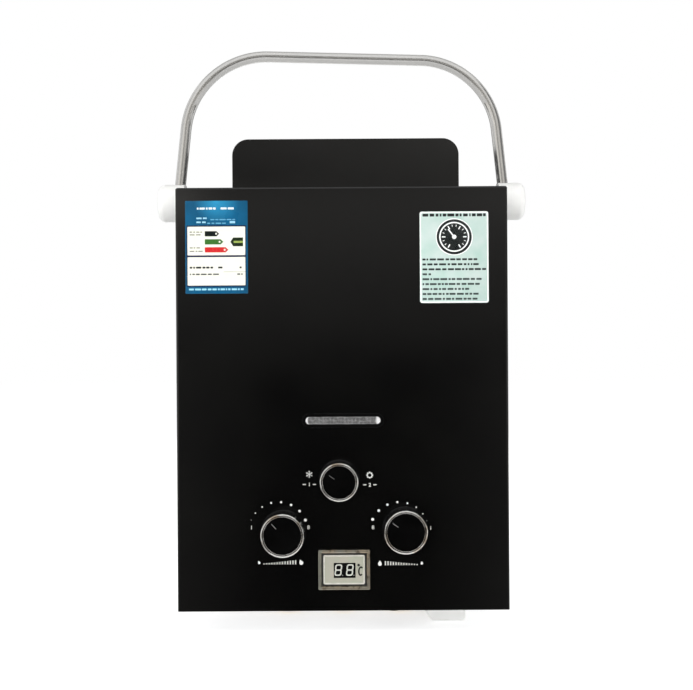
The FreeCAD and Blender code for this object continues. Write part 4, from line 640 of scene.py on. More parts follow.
# %% Grids, plans and pieces
def grid_faces(rows, columns, close_rows=False, close_columns=True, first=0):
    """Quads over points numbered row by row from first: each joins a point, the next one in
    its row, and the two beside them in the next row."""
    row = np.arange(rows if close_rows else rows - 1)[:, None]
    column = np.arange(columns if close_columns else columns - 1)[None, :]
    after_row, after_column = (row + 1) % rows, (column + 1) % columns
    corners = (row * columns + column, row * columns + after_column,
               after_row * columns + after_column, after_row * columns + column)
    return (first + np.stack(np.broadcast_arrays(*corners), -1)).reshape(-1, 4).tolist()


def round_angles(steps):
    """Angles of so many even steps round a circle."""
    return 2 * np.pi * np.arange(steps) / steps


def turned_by(points, degrees):
    """Plan points turned anticlockwise about the middle."""
    turn = math.radians(degrees)
    return points @ np.array([[math.cos(turn), math.sin(turn)],
                              [-math.sin(turn), math.cos(turn)]])


def end_faces(rows, columns):
    """One face over the first row of points and one over the last."""
    last = (rows - 1) * columns
    return [list(range(columns))[::-1], list(range(last, last + columns))]


FACING = {"front": ((1, 0, 0), (0, 0, 1)), "right": ((0, 1, 0), (0, 0, 1)),
          "left": ((0, -1, 0), (0, 0, 1)), "down": ((1, 0, 0), (0, -1, 0)),
          "up": ((1, 0, 0), (0, 1, 0))}


def lay(points, origin, facing="front"):
    """Plan points (a, b, height) carried to origin + a*first + b*second + height*outward."""
    first, second = (np.array(v, float) for v in FACING[facing])
    basis = np.stack([first, second, np.cross(first, second)])
    return np.asarray(points, float) @ basis + np.asarray(origin, float)


CREASE = 32


def add_piece(name, shape, origin, finish_name, body, stands_for=(), facing="front"):
    """A new piece, which rides on a body of the heater. Its shape is points in millimetres and
    faces, laid at an origin. Edges that bend by more than the crease angle stay sharp."""
    points, faces = shape
    mesh = bpy.data.meshes.new(name)
    mesh.from_pydata((lay(points, origin, facing) * MM).tolist(), [], faces)
    mesh.update()
    mesh.shade_smooth()
    mesh.set_sharp_from_angle(angle=math.radians(CREASE))
    piece = bpy.data.objects.new(name, mesh)
    bpy.context.scene.collection.objects.link(piece)
    mesh.materials.append(FINISHES[finish_name])
    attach(piece, body)
    if stands_for:
        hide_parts(*stands_for)
    return piece


def count(piece):
    """The number of triangles in a piece, for the printed line."""
    return sum(len(face.vertices) - 2 for face in piece.data.polygons)


def joined(parts):
    """Several (points, faces) parts as one."""
    points, faces, first = [], [], 0
    for part_points, part_faces in parts:
        points.append(np.asarray(part_points, float))
        faces += [[first + index for index in face] for face in part_faces]
        first += len(part_points)
    return np.vstack(points), faces


print("grids ready")


# %% Turned shapes
def turned(profile, steps=96, ripple=None, press=None):
    """A solid turned about its axis: the point (r cos a, r sin a, h) for each (r, h) of the
    profile. The profile starts and ends on the axis, and runs out below and back above.
    ripple(r, h, a) is added to the radius, and press(r, a) is taken from the height."""
    profile = np.asarray(profile, float)
    angle = round_angles(steps)
    radius, height = profile[1:-1, :1] + 0 * angle, profile[1:-1, 1:] + 0 * angle
    if ripple is not None:
        radius = radius + ripple(radius, height, angle + 0 * radius)
    if press is not None:
        height = height - press(radius, angle)
    rings = np.stack([radius * np.cos(angle), radius * np.sin(angle), height], -1)
    rows = len(profile) - 2
    points = np.vstack([[(0, 0, profile[0, 1])], rings.reshape(-1, 3), [(0, 0, profile[-1, 1])]])
    here, after = np.arange(steps), (np.arange(steps) + 1) % steps
    top, last = 1 + (rows - 1) * steps, len(points) - 1
    below = np.stack([0 * here, 1 + after, 1 + here], -1).tolist()
    above = np.stack([top + here, top + after, last + 0 * here], -1).tolist()
    return points, below + grid_faces(rows, steps, first=1) + above


def turned_ring(profile, steps=96):
    """A ring turned about its axis from a closed profile, which runs up its outer side."""
    profile = np.asarray(profile, float)
    angle = round_angles(steps)
    points = np.stack([profile[:, :1] * np.cos(angle), profile[:, :1] * np.sin(angle),
                       profile[:, 1:] + 0 * angle], -1).reshape(-1, 3)
    return points, grid_faces(len(profile), steps, close_rows=True)


def arc(centre, radius, start, end, steps=6):
    """Points of a profile along part of a circle, from one angle to another in degrees."""
    angle = np.radians(np.linspace(start, end, steps))
    return [(centre[0] + radius * math.cos(a), centre[1] + radius * math.sin(a)) for a in angle]


print("turned shapes ready")


# %% Plates with rounded corners
def rounded_rectangle(half_width, half_height, radius, steps=6):
    """Its outline, anticlockwise: four quarter circles about the corners' centres."""
    corner = np.repeat(np.arange(4), steps + 1)
    angle = np.radians(90 * corner + np.tile(np.linspace(0, 90, steps + 1), 4))
    side = np.where((corner == 0) | (corner == 3), 1, -1)
    rise = np.where(corner < 2, 1, -1)
    return np.stack([side * (half_width - radius) + radius * np.cos(angle),
                     rise * (half_height - radius) + radius * np.sin(angle)], -1)


def stacked(outlines, heights, ring=False):
    """Outlines of as many points each, at their heights and joined by quads. The two ends are
    closed, or in a ring the last outline is joined to the first."""
    points = np.vstack([np.column_stack([outline, np.full(len(outline), height)])
                        for outline, height in zip(outlines, heights)])
    rows, columns = len(outlines), len(outlines[0])
    ends = [] if ring else end_faces(rows, columns)
    return points, ends + grid_faces(rows, columns, close_rows=ring)


def prism(outline, low, high):
    """A flat shape of one thickness: its outline at two heights, with both ends closed."""
    return stacked([np.asarray(outline, float)] * 2, (low, high))


def plate(half_width, half_height, radius, profile, steps=6, ring=False, least_radius=0.05):
    """A plate with shaped edges: for each (inset, height) of the profile, the outline drawn
    in by the inset and set at the height. The profile runs from its underside to its top."""
    insets, heights = zip(*profile)
    return stacked([rounded_rectangle(half_width - inset, half_height - inset,
                                      max(radius - inset, least_radius), steps)
                    for inset in insets], heights, ring)


def plate_ring(half_width, half_height, radius, profile, steps=6):
    """A frame with a rounded outline, from a closed profile that runs up its outer side."""
    return plate(half_width, half_height, radius, profile, steps, True, 0.08)


print("plates ready")


# %% A round bar along a bent path
def bent_path(corners, radii, spacing=2.0):
    """Points along straight runs whose corners are rounded: each corner gives way to an arc
    that touches both of its runs."""
    corners = [np.array(corner, float) for corner in corners]
    path = [corners[0]]
    for before, corner, after, radius in zip(corners, corners[1:], corners[2:], radii):
        start = (before - corner) / np.linalg.norm(before - corner)
        end = (after - corner) / np.linalg.norm(after - corner)
        half = math.acos(float(start @ end)) / 2
        reach = radius / math.tan(half)
        middle = corner + (start + end) / np.linalg.norm(start + end) * radius / math.sin(half)
        turn = math.pi - 2 * half
        share = np.linspace(0, 1, max(int(turn * radius / spacing), 6))[:, None]
        first, last = corner + start * reach - middle, corner + end * reach - middle
        swept = (np.sin((1 - share) * turn) * first + np.sin(share * turn) * last) / math.sin(turn)
        path += list(middle + swept)
    return np.array(path + [corners[-1]])


def even_steps(path, spacing):
    """The same path with points an even distance apart."""
    along = np.concatenate([[0], np.cumsum(np.linalg.norm(np.diff(path, axis=0), axis=1))])
    places = np.linspace(0, along[-1], int(along[-1] / spacing) + 1)
    return np.stack([np.interp(places, along, path[:, k]) for k in range(3)], -1), places


def flat_bar(path, radius, side, steps=40):
    """A round bar along a path in one plane: at each point of the path a circle is spanned by
    side, the direction square to that plane, and by the direction across the path in it."""
    tangent = np.gradient(path, axis=0)
    tangent /= np.linalg.norm(tangent, axis=1)[:, None]
    side = np.asarray(side, float)
    across = np.cross(tangent, side)
    angle = round_angles(steps)
    circle = (np.cos(angle)[None, :, None] * side
              + np.sin(angle)[None, :, None] * across[:, None, :])
    points = (path[:, None, :] + radius * circle).reshape(-1, 3)
    return points, end_faces(len(path), steps) + grid_faces(len(path), steps)


print("bars ready")

# %% [markdown]
# ## The tube handle
# One stainless tube is bent twice and dips into a socket on each side. Its run across the
# top falls a little to the right. Two straight legs and arcs that touch them give its
# line, and a circle carried along it gives the tube. Each point also keeps its place along
# and around the tube, which the drawn lines of the steel follow round the bends.

# %% Handle
handle_low, handle_high = node_box("handle_tube")
PIVOT_X, PIVOT_Z = 152.2, np.mean(node_box("pivot_caps"), axis=0)[2]
TUBE_RADIUS, TUBE_STEPS = (handle_high[1] - handle_low[1]) / 2, 64
BEND_RADII, POINT_SPACING, SOCKET_DEPTH = (75.6, 72.9), 1.5, 4.4
handle_y = (handle_low[1] + handle_high[1]) / 2
left_foot, right_foot = (-PIVOT_X, handle_y, PIVOT_Z), (PIVOT_X, handle_y, PIVOT_Z)
left_bend, right_bend = (-137.5, handle_y, 503.8), (138.5, handle_y, 495.6)
line = bent_path([left_foot, left_bend, right_bend, right_foot], BEND_RADII)
line, along = even_steps(line, POINT_SPACING)
inside = line[:, 2] > PIVOT_Z + SOCKET_DEPTH
line, along = line[inside], along[inside]
handle = add_piece("handle_bar", flat_bar(line, TUBE_RADIUS, (0, 1, 0), TUBE_STEPS), (0, 0, 0),
                   "stainless_tube", "handle", ["handle_tube"], "up")
around = np.tile(round_angles(TUBE_STEPS), len(line))
place = np.stack([np.cos(around) * TUBE_RADIUS, np.sin(around) * TUBE_RADIUS,
                  np.repeat(along, TUBE_STEPS)], -1) * MM
handle.data.attributes.new("grain", "FLOAT_VECTOR", "POINT").data.foreach_set(
    "vector", place.ravel())
print("handle:", count(handle), "triangles,", round(along[-1] - along[0]), "mm long")

# %% [markdown]
# ## The knobs
# A knob is one turned shape: a skirt, a barrel with grip grooves, and a shallow dished
# face inside a bright ring. The grooves are a ripple added to the barrel's radius, faded
# out at both ends, so they cost no extra pieces. The ring is a ridge with two slopes, then a
# narrow gap, and a fine bead that lies on the edge of the face. Each catches its own light.


# %% A knob, its ring and its pointer
GRIP_DEPTH, DISH = 0.62, 0.35


def make_knob(name, pointer_angle, pointer_start, pointer_end, pointer_colour):
    """The body, ring and pointer line of one knob. Radii and heights follow the solid's box."""
    (radius, _), origin, seat, crest = on_panel(name + "_ring")
    base = on_panel(name)[2]
    barrel, skirt, inner, face = radius - 0.3, radius + 0.9, radius - 2.35, crest - 0.9
    grip_start, grip_end = base + 3.9, seat - 0.4
    grooves = round(2 * radius)

    def grip(r, h, a):
        """Depth of the grip grooves: the positive half of a wave, faded in over 0.8 mm."""
        fade = np.clip((h - grip_start) / 0.8, 0, 1) * np.clip((grip_end - h) / 0.8, 0, 1)
        return -GRIP_DEPTH * fade * (r > inner) * np.maximum(np.cos(grooves * a), 0) ** 1.3

    profile = ([(0, base), (skirt - 0.5, base)]
               + arc((skirt - 0.5, base + 0.5), 0.5, -90, 0)
               + arc((skirt - 0.4, base + 2.6), 0.4, 0, 60)
               + [(barrel + 0.05, base + 3.7)]
               + [(barrel, h) for h in np.linspace(grip_start, grip_end, 14)]
               + [(barrel, seat), (inner, seat), (inner, face - 0.15)]
               + arc((inner - 0.3, face - 0.3), 0.3, 20, 90, 4)
               + [(r, face - DISH * (1 - (r / inner) ** 2))
                  for r in np.linspace(inner - 0.6, 1, 10)]
               + [(0, face - DISH)])
    body = add_piece(name + "_body", turned(profile, steps=12 * grooves, ripple=grip), origin,
                     "black_plastic", name, [name])

    ridge = (radius - 0.9, crest - 0.25)
    crest_ring = ([(radius - 0.25, seat), (radius - 0.25, crest - 0.71)]
                  + arc(ridge, 0.25, 45, 135, 7)
                  + [(radius - 1.6, crest - 0.77), (radius - 1.6, seat)])
    bead = arc((inner - 0.05, face - 0.12), 0.26, -20, 200, 12)
    ring = add_piece(name + "_trim", joined([turned_ring(part, steps=160)
                                             for part in (crest_ring, bead)]),
                     origin, "chrome_trim", name, [name + "_ring"])

    length = (pointer_end - pointer_start) / 2
    points, faces = plate(length, 0.3, 0.28,
                          [(0, face - 0.5), (0, face - 0.12), (0.1, face - 0.02)])
    points[:, 0] += (pointer_start + pointer_end) / 2
    points[:, :2] = turned_by(points[:, :2], pointer_angle)
    line = add_piece(name + "_pointer", (points, faces), origin, pointer_colour, name)
    return body, ring, line


for name, tone, shade in (("pointer_grey", 0.16, 0.20), ("pointer_dim", 0.06, 0.08)):
    finish(name, grey(tone), grey(shade), 0.4, texture=(0.3, 0.004, 45.0), dust=0.0)
for name, angle, start, end, colour in (("gas_knob", 132, 7.9, 13.9, "pointer_grey"),
                                        ("water_knob", 145, 7.9, 13.9, "pointer_grey"),
                                        ("season_knob", 145, 4.8, 10.4, "pointer_dim")):
    print(name, [count(part) for part in make_knob(name, angle, start, end, colour)])

# %% [markdown]
# ## Flat shapes with holes
# Printed marks and frames are flat outlines, some with holes. Blender fills a flat curve
# and gives it a thickness, and the result is read back as points and faces. Letters come
# from the built-in font in the same way. Both are closed solids, a few hundredths of a
# millimetre thick, as a layer of ink or a film is.


# %% Outlines and numbers as thin solids
def from_curve(curve):
    """Points in millimetres and faces of a curve's surface, with its doubled points merged."""
    holder = bpy.data.objects.new("outline", curve)
    mesh = bpy.data.meshes.new_from_object(holder)
    work = bmesh.new()
    work.from_mesh(mesh)
    bmesh.ops.remove_doubles(work, verts=work.verts, dist=1e-7)
    bmesh.ops.recalc_face_normals(work, faces=work.faces)
    work.to_mesh(mesh)
    work.free()
    points = np.empty(len(mesh.vertices) * 3)
    mesh.vertices.foreach_get("co", points)
    faces = [list(face.vertices) for face in mesh.polygons]
    bpy.data.objects.remove(holder)
    bpy.data.meshes.remove(mesh)
    bpy.data.curves.remove(curve)
    return points.reshape(-1, 3) / MM, faces


def filled(loops, low, high):
    """A flat shape between two heights. Its first loop is the outline and the rest are holes."""
    curve = bpy.data.curves.new("outline", "CURVE")
    curve.dimensions, curve.fill_mode = "2D", "BOTH"
    curve.extrude = (high - low) / 2 * MM
    for loop in loops:
        loop = np.asarray(loop, float)
        spline = curve.splines.new("POLY")
        spline.points.add(len(loop) - 1)
        flat = np.column_stack([loop * MM, np.zeros(len(loop)), np.ones(len(loop))])
        spline.points.foreach_set("co", flat.ravel())
        spline.use_cyclic_u = True
    points, faces = from_curve(curve)
    return points + (0, 0, (low + high) / 2), faces


def lettering(text, size, place, low, high):
    """Numbers in the built-in font: capitals about 0.7 of the size high, centred on a place."""
    curve = bpy.data.curves.new("numbers", "FONT")
    curve.body, curve.size = text, size * MM
    curve.extrude, curve.offset = (high - low) / 2 * MM, 0.1 * MM
    curve.resolution_u = 4
    points, faces = from_curve(curve)
    middle = (points.min(0) + points.max(0)) / 2
    return points - middle + (place[0], place[1], (low + high) / 2), faces


print("flat shapes ready")


# %% Common outlines
def circle(radius, place=(0, 0), steps=32):
    """Points round a circle."""
    angle = round_angles(steps)
    return np.stack([np.cos(angle), np.sin(angle)], -1) * radius + place


def box_outline(half_width, half_height, place=(0, 0), radius=0.15, steps=3):
    """A small rounded rectangle about a place."""
    return rounded_rectangle(half_width, half_height, radius, steps) + place


def drop_outline(width, height, place, steps=40):
    """A drop: a circle whose upper half is drawn up to a point, by a power of the height."""
    angle = round_angles(steps)
    rise, upper = np.abs(np.sin(angle)), np.sin(angle) > 0
    x = np.cos(angle) * np.where(upper, (1 - rise ** 2.2) ** 0.7, 1)
    y = np.where(upper, 2 * rise ** 0.9, -rise)
    return np.stack([x * width / 2, (y - 0.5) * height / 3], -1) + place


def flame_outline(width, height, place, steps=40):
    """A flame: a drop whose tip sways to one side as it rises."""
    points = drop_outline(width, height, (0, 0), steps)
    rise = np.clip(points[:, 1] / height + 0.5, 0, 1)
    points[:, 0] += width * (0.22 * np.sin(rise * 5.0) * rise)
    return points + place


print("drop and flame", drop_outline(3, 4, (0, 0)).shape)

# %% [markdown]
# ## Coloured print
# All the ink on one surface is one mesh. Each flat shape's colour is kept with its faces
# as an attribute, and one finish reads it. Ink is a little uneven, so the finish adds
# faint mottling, and a film of lacquer gives stickers their gloss.


# %% Ink colours and the finish that reads them
def ink(red, green, blue):
    """A colour given as on a colour chart, from 0 to 255, as a linear colour."""
    share = np.array([red, green, blue]) / 255
    linear = np.where(share <= 0.04045, share / 12.92, ((share + 0.055) / 1.055) ** 2.4)
    return (*linear.tolist(), 1.0)


def print_finish(name, roughness, specular, fade):
    """The common recipe with the ink attribute as its colour, dulled here and there by fade."""
    made = finish(name, grey(0.5), grey(0.5), roughness, specular=specular,
                  texture=(0.5, 0.003, 6), dust=0.0)
    colour = add_node(made.tree, "ShaderNodeAttribute", attribute_name="ink").outputs["Color"]
    thin = spread(made.tree, made.grain["Mottle"], 0, 1, 0.0, fade)
    feed(made.shader, "Base Color", blended(made.tree, thin, colour, grey(0.18)))


def add_print(name, shapes, origin, finish_name, body):
    """One piece from (points, faces, colour) shapes on a plan."""
    piece = add_piece(name, joined([shape[:2] for shape in shapes]), origin, finish_name, body)
    colours = np.vstack([np.tile(colour, (sum(len(face) for face in part), 1))
                         for _, part, colour in shapes])
    layer = piece.data.color_attributes.new("ink", "FLOAT_COLOR", "CORNER")
    layer.data.foreach_set("color", colours.ravel())
    return piece


print_finish("panel_ink", 0.5, 0.3, 0.10)
print_finish("label_ink", 0.32, 0.25, 0.05)
print("ink finishes ready")

# %% [markdown]
# ## Marks on the front panel
# Eight dots grow round each large knob to show more gas or more water. Under the knob, a
# row of bars grows the same way, from a small flame or drop to a large one. A snowflake
# and a sun mark the ends of the season knob, with a number under each.

# %% Dots and numbers round the knobs
INK_LOW, INK_HIGH = 0.004, 0.03
BRIGHT, SOFT, DIM = ink(240, 240, 236), ink(214, 214, 208), ink(110, 110, 106)
marks = []


def mark(loops, colour):
    """Add one filled shape to the panel's marks."""
    marks.append((*filled(loops, INK_LOW, INK_HIGH), colour))


def number(text, size, place, colour):
    """Add one number to the panel's marks."""
    marks.append((*lettering(text, size, place, INK_LOW, INK_HIGH), colour))


DOTS, DOT_RADIUS, DOT_SWEEP = 8, 25.6, 134.5
swing = DOT_SWEEP * np.linspace(0, 1, DOTS) ** 1.1
dot_sizes = np.linspace(0.9, 2.6, DOTS) / 2
for centre, angles in (((-56.7, 69.6), 156.9 - swing), ((48.9, 68.9), 20.9 + swing)):
    for angle, size in zip(np.radians(angles), dot_sizes):
        spot = (centre[0] + DOT_RADIUS * math.cos(angle), centre[1] + DOT_RADIUS * math.sin(angle))
        mark([circle(size, spot, 20)], DIM if size == dot_sizes[0] else BRIGHT)
for text, place in (("1", (-80.1, 73.2)), ("8", (-30.4, 73.0)),
                    ("8", (25.9, 72.6)), ("1", (76.2, 71.7))):
    number(text, 4.6, place, SOFT)
print("marks so far:", len(marks))

# %% Flame, drop, snowflake and sun
BARS, BAR_PITCH, BAR_WIDTH = 13, 2.3, 1.15
for middle, outline, side in (((-55.6, 42.7), flame_outline, 1), ((50.3, 41.4), drop_outline, -1)):
    for step, height in enumerate(np.linspace(0.9, 3.6, BARS)):
        x = middle[0] + side * (step - (BARS - 1) / 2) * BAR_PITCH
        mark([box_outline(BAR_WIDTH / 2, height / 2, (x, middle[1] - 1.9 + height / 2), 0.2)],
             SOFT)
    for reach, size in ((-18.0, 0.62), (18.6, 1.0)):
        mark([outline(3.3 * size, 4.6 * size, (middle[0] + side * reach, middle[1] - 0.1))],
             BRIGHT)


def spoke(length, width, angle, place, start=0.0):
    """A thin bar from a start to a length, turned about a place."""
    bar = box_outline((length - start) / 2, width / 2, ((length + start) / 2, 0), width * 0.3, 2)
    return turned_by(bar, angle) + place


SNOW, SUN = np.array([-29.4, 119.2]), np.array([23.3, 118.2])
for angle in range(30, 390, 60):
    mark([spoke(3.1, 0.52, angle, SNOW, 0.2)], BRIGHT)
    elbow = SNOW + turned_by(np.array([1.9, 0]), angle)
    for side in (-50, 50):
        mark([spoke(0.8, 0.4, angle + side, elbow, 0.1)], BRIGHT)
mark([circle(2.4, SUN), circle(1.65, SUN)[::-1]], BRIGHT)
for angle in range(0, 360, 45):
    mark([spoke(3.1, 0.9, angle, SUN, 2.3)], BRIGHT)
for text, place in (("1", (SNOW[0], 110.4)), ("2", (SUN[0], 109.8))):
    number(text, 4.4, place, SOFT)
    for side in (-1, 1):
        mark([box_outline(1.5, 0.45, (place[0] + side * 4.4, place[1]), 0.3)], SOFT)
panel_marks = add_print("panel_marks", marks, (0, PANEL_Y, 0), "panel_ink", "case")
print("panel marks:", len(marks), "shapes,", count(panel_marks), "triangles")

# %% [markdown]
# ## The display
# A bright bevelled frame surrounds a pale plate. The plate has a raised rim with rounded
# corners, and a black window with two numbers in it. The numbers are drawn as loops with
# a slant and a dull point each, and a degree sign stands beside the window.

# %% Frame
bezel_half, display_centre, sleeve_end, bezel_proud = on_panel("display_bezel")
lcd_half, _, plate_rear, plate_front = on_panel("display_plate")
print("frame", bezel_half, "plate", lcd_half, "proud", bezel_proud)

# Painted reflection: the frame's chrome is mottled tan, with dark brown blotches from a noise and
# a grey-green strip along its left side. All of these stand in for what the frame mirrors.
painted_reflection_chrome = finish("chrome_painted_reflections", (0.54, 0.53, 0.46, 1), (0.62, 0.50, 0.35, 1), 0.40, metallic=1.0,
              texture=(0.6, 0.004, 9), rubbed=(0.75, 0.72, 0.65, 1), rub_width=0.4, rub=0.6,
              dust=0.0)
painted_reflection_blotches = noise(painted_reflection_chrome.tree, painted_reflection_chrome.place, 210.0, 4.0)
tint(painted_reflection_chrome, spread(painted_reflection_chrome.tree, painted_reflection_blotches, 0.52, 0.66, 0, 0.8), (0.12, 0.085, 0.06, 1))
frame_left = display_centre[0] - bezel_half[0]
painted_left_reflection = spread(painted_reflection_chrome.tree, axes_of(painted_reflection_chrome.tree, painted_reflection_chrome.place)["X"], (frame_left + 4) * MM,
                   (frame_left + 3) * MM, 0, 0.75)
tint(painted_reflection_chrome, painted_left_reflection, (0.52, 0.54, 0.47, 1))

SLEEVE_INSET, FRAME_INSET = 1.4, 3.0
bezel_profile = ([(0, 0), (0, bezel_proud - 0.5)]
                 + [(0.5 - 0.5 * math.cos(a), bezel_proud - 0.5 + 0.5 * math.sin(a))
                    for a in np.radians((22, 45, 68, 90))]
                 + [(1.9, bezel_proud), (2.2, bezel_proud - 0.12),
                    (FRAME_INSET, bezel_proud - 1.5), (FRAME_INSET, sleeve_end),
                    (SLEEVE_INSET, sleeve_end), (SLEEVE_INSET, 0)])
frame_piece = add_piece("display_frame", plate_ring(*bezel_half, 1.0, bezel_profile),
                        display_centre, "chrome_painted_reflections", "case", ["display_bezel"])
gasket_room = bezel_half[0] - FRAME_INSET - lcd_half[0]
gasket_profile = [(0, 0.2), (0, 0.9), (0.2, 1.1), (gasket_room - 0.2, 1.1), (gasket_room, 0.9),
                  (gasket_room, 0.2)]
gasket = add_piece("display_gasket", plate_ring(bezel_half[0] - FRAME_INSET,
                                                bezel_half[1] - FRAME_INSET, 0.2,
                                                gasket_profile, 3),
                   display_centre, "black_rubber", "case")
print("display frame:", count(frame_piece), "triangles, gasket:", count(gasket))

# %% Plate and its rim
RIM_WIDTH, FACE_DROP = 1.5, 0.35
face_height = plate_front - FACE_DROP
finish("lcd_plate", ink(163, 167, 150), ink(174, 168, 155), 0.4, texture=(0.5, 0.012, 7),
       rubbed=ink(205, 203, 192), rub_width=0.3, dust=0.0)
finish("lcd_rim", ink(196, 196, 184), ink(206, 202, 194), 0.28, texture=(0.5, 0.004, 7),
       rubbed=ink(225, 223, 215), rub_width=0.4, dust=0.0)
add_piece("display_face", plate(lcd_half[0] - RIM_WIDTH + 0.1, lcd_half[1] - RIM_WIDTH + 0.1, 0.4,
                                [(0, plate_rear), (0, face_height)]),
          display_centre, "lcd_plate", "case", ["display_plate"])
rim_profile = [(0, plate_rear), (0, plate_front - 0.3), (0.1, plate_front - 0.09),
               (0.3, plate_front), (RIM_WIDTH - 0.4, plate_front),
               (RIM_WIDTH - 0.15, plate_front - 0.1), (RIM_WIDTH, face_height - 0.1),
               (RIM_WIDTH, plate_rear)]
rim = add_piece("display_rim", plate_ring(*lcd_half, 1.6, rim_profile), display_centre,
                "lcd_rim", "case")
print("plate face at", round(face_height, 2), "mm off the panel")

# %% Numbers on the display
DIGIT_WIDTH, DIGIT_HEIGHT, DIGIT_STROKE, DIGIT_SLANT = 6.2, 10.1, 1.2, 0.11
DIGIT_PLACES, POINT_PLACE, DEGREE_PLACE, LETTER_PLACE = (
    np.array([(-4.56, 36.0), (5.42, 36.0)]), (3.5, -4.6), (13.1, 40.2), (15.0, 34.9))


def display_eight(place):
    """An eight of two rounded loops which share their middle bar, leaning to the right."""
    loop_height = (DIGIT_HEIGHT + DIGIT_STROKE) / 4
    shapes = []
    for side in (-1, 1):
        middle = side * (DIGIT_HEIGHT / 2 - loop_height)
        loops = []
        for inset, radius in ((0, 2.0), (DIGIT_STROKE, 0.9)):
            loop = rounded_rectangle(DIGIT_WIDTH / 2 - inset, loop_height - inset, radius)
            loop[:, 1] += middle
            loop[:, 0] += DIGIT_SLANT * loop[:, 1]
            loops.append(loop + place)
        shapes.append([loops[0], loops[1][::-1]])
    return shapes


WINDOW_LOW, WINDOW_HIGH = np.array([-8.55, 29.1]), np.array([10.4, 42.2])
centre_plan = np.array(display_centre)[[0, 2]]
window_x, window_z = (WINDOW_LOW + WINDOW_HIGH) / 2
finish("display_glass", grey(0.004), grey(0.006), 0.16, texture=(2.0, 0.001, 9), dust=0.0,
       swing=0.03)
glass_top = face_height + 0.16
add_piece("display_window", plate(*(WINDOW_HIGH - WINDOW_LOW) / 2, 0.3,
                                  [(0, face_height - 0.2), (0, glass_top - 0.06),
                                   (0.08, glass_top)]),
          (window_x, PANEL_Y, window_z), "display_glass", "case")

digits = []


def digit_ink(loops, base, colour, level=0):
    """Add one filled shape to the display, just above a base height."""
    digits.append((*filled(loops, base + 0.004, base + 0.03 + 0.006 * level), colour))


PALE, DULL, COAL = ink(198, 199, 190), ink(130, 130, 125), ink(28, 30, 24)
for place in DIGIT_PLACES - centre_plan:
    for level, loops in enumerate(display_eight(place)):
        digit_ink(loops, glass_top, PALE, level)
    digit_ink([circle(0.55, place + POINT_PLACE, 14)], glass_top, DULL)
digit_ink([circle(1.15, DEGREE_PLACE - centre_plan, 24)], face_height, COAL)
turn = np.radians(np.linspace(48, 312, 26))
bow = np.stack([np.cos(turn), np.sin(turn)], -1)
letter = np.vstack([bow * (2.5, 4.2), (bow * (1.05, 2.7))[::-1]])
letter[:, 0] += 0.06 * letter[:, 1]
digit_ink([letter + LETTER_PLACE - centre_plan], face_height, COAL)
numbers = add_print("display_numbers", digits, display_centre, "label_ink", "case")
print("display numbers:", count(numbers), "triangles")

# %% [markdown]
# ## The viewing window
# A pressed rim, painted flat black, holds a strip of woven wire in front of the burner.
# Its inner lip is bare steel, mottled by a noise. Towards the two ends, a thin crescent on
# the left and a half-round stop with a flat on the right, its colour is painted nearly
# white as a highlight. The rim and the lip are outlines drawn in step by step.

# %% Window rim and its bare lip
rim_half, rim_centre, rim_rear, rim_proud = on_panel("window_rim")
RIM_FLAT, LIP = 3.1, 0.4
finish("rim_paint", grey(0.0010), grey(0.0014), 0.30, specular=0.12, texture=(0.9, 0.004, 30),
       dust=0.0)
rim_profile = [(0, 0.01), (0.15, 0.2), (0.5, rim_proud - 0.06), (0.8, rim_proud),
               (RIM_FLAT - 0.7, rim_proud), (RIM_FLAT - 0.3, rim_proud - 0.08), (RIM_FLAT, 0),
               (RIM_FLAT, rim_rear), (RIM_FLAT - 0.6, rim_rear), (RIM_FLAT - 0.6, 0.01)]
rim = add_piece("window_frame", plate_ring(*rim_half, rim_half[1], rim_profile, 20), rim_centre,
                "rim_paint", "case", ["window_rim"])

bare_with_painted_glint = finish("bare_lip_with_painted_glint", grey(0.10), grey(0.42), 0.42, metallic=0.4, texture=(0.3, 0.006, 4.5),
              dust=0.0)
aside = maths(bare_with_painted_glint.tree, "ABSOLUTE", axes_of(bare_with_painted_glint.tree, bare_with_painted_glint.place)["X"])
# Painted highlight: towards both ends of the window, the lip's colour goes nearly white.
PAINTED_GLINT_FROM, PAINTED_GLINT_FULLY = 28.5, 30.5
tint(bare_with_painted_glint, spread(bare_with_painted_glint.tree, aside, PAINTED_GLINT_FROM * MM, PAINTED_GLINT_FULLY * MM), grey(0.84))
open_half = rim_half[0] - RIM_FLAT, rim_half[1] - RIM_FLAT
lip_shape = plate_ring(*open_half, open_half[1],
                       [(0.02, -0.6), (0.02, 0.05), (0.15, 0.16), (LIP - 0.12, 0.12),
                        (LIP, -0.05), (LIP, -0.6)], 20)
round_x, round_r = open_half[0] - open_half[1], open_half[1] - LIP
turn = np.radians(np.linspace(-90, 90, 24))
bow = np.stack([np.cos(turn), np.sin(turn)], -1) * round_r
flat = round_x - 1.6
stop = np.vstack([bow + (round_x, 0), [(flat, round_r * 0.55), (flat, -round_r * 0.55)]])
crescent = np.vstack([bow * (-0.45, 0.98), (bow * (-1, 1))[::-1]]) - (round_x, 0)
lip_parts = [lip_shape, prism(stop, -0.6, 0.02), prism(crescent, -0.6, 0.05)]
lip = add_piece("window_lip", joined(lip_parts), rim_centre, "bare_lip_with_painted_glint", "case")
print("rim:", count(rim), "triangles, lip:", count(lip))

# %% [markdown]
# ## Woven wire
# The weave is one surface: one sine wave times another makes the wires rise and dip in
# turn. The cells between the wires are closed and painted near black, a painted shade for
# the openings. The height itself decides this in the material.

# %% Wire strip
WIRE_METALLIC = 0.45
wire = finish("woven_wire", grey(0.24), grey(0.66), 0.42, metallic=WIRE_METALLIC,
              texture=(0.2, 0.004, 1.9), dust=0.0)
height = add_node(wire.tree, "ShaderNodeAttribute", attribute_name="height").outputs["Fac"]
on_wire = spread(wire.tree, height, 0.24, 0.36)
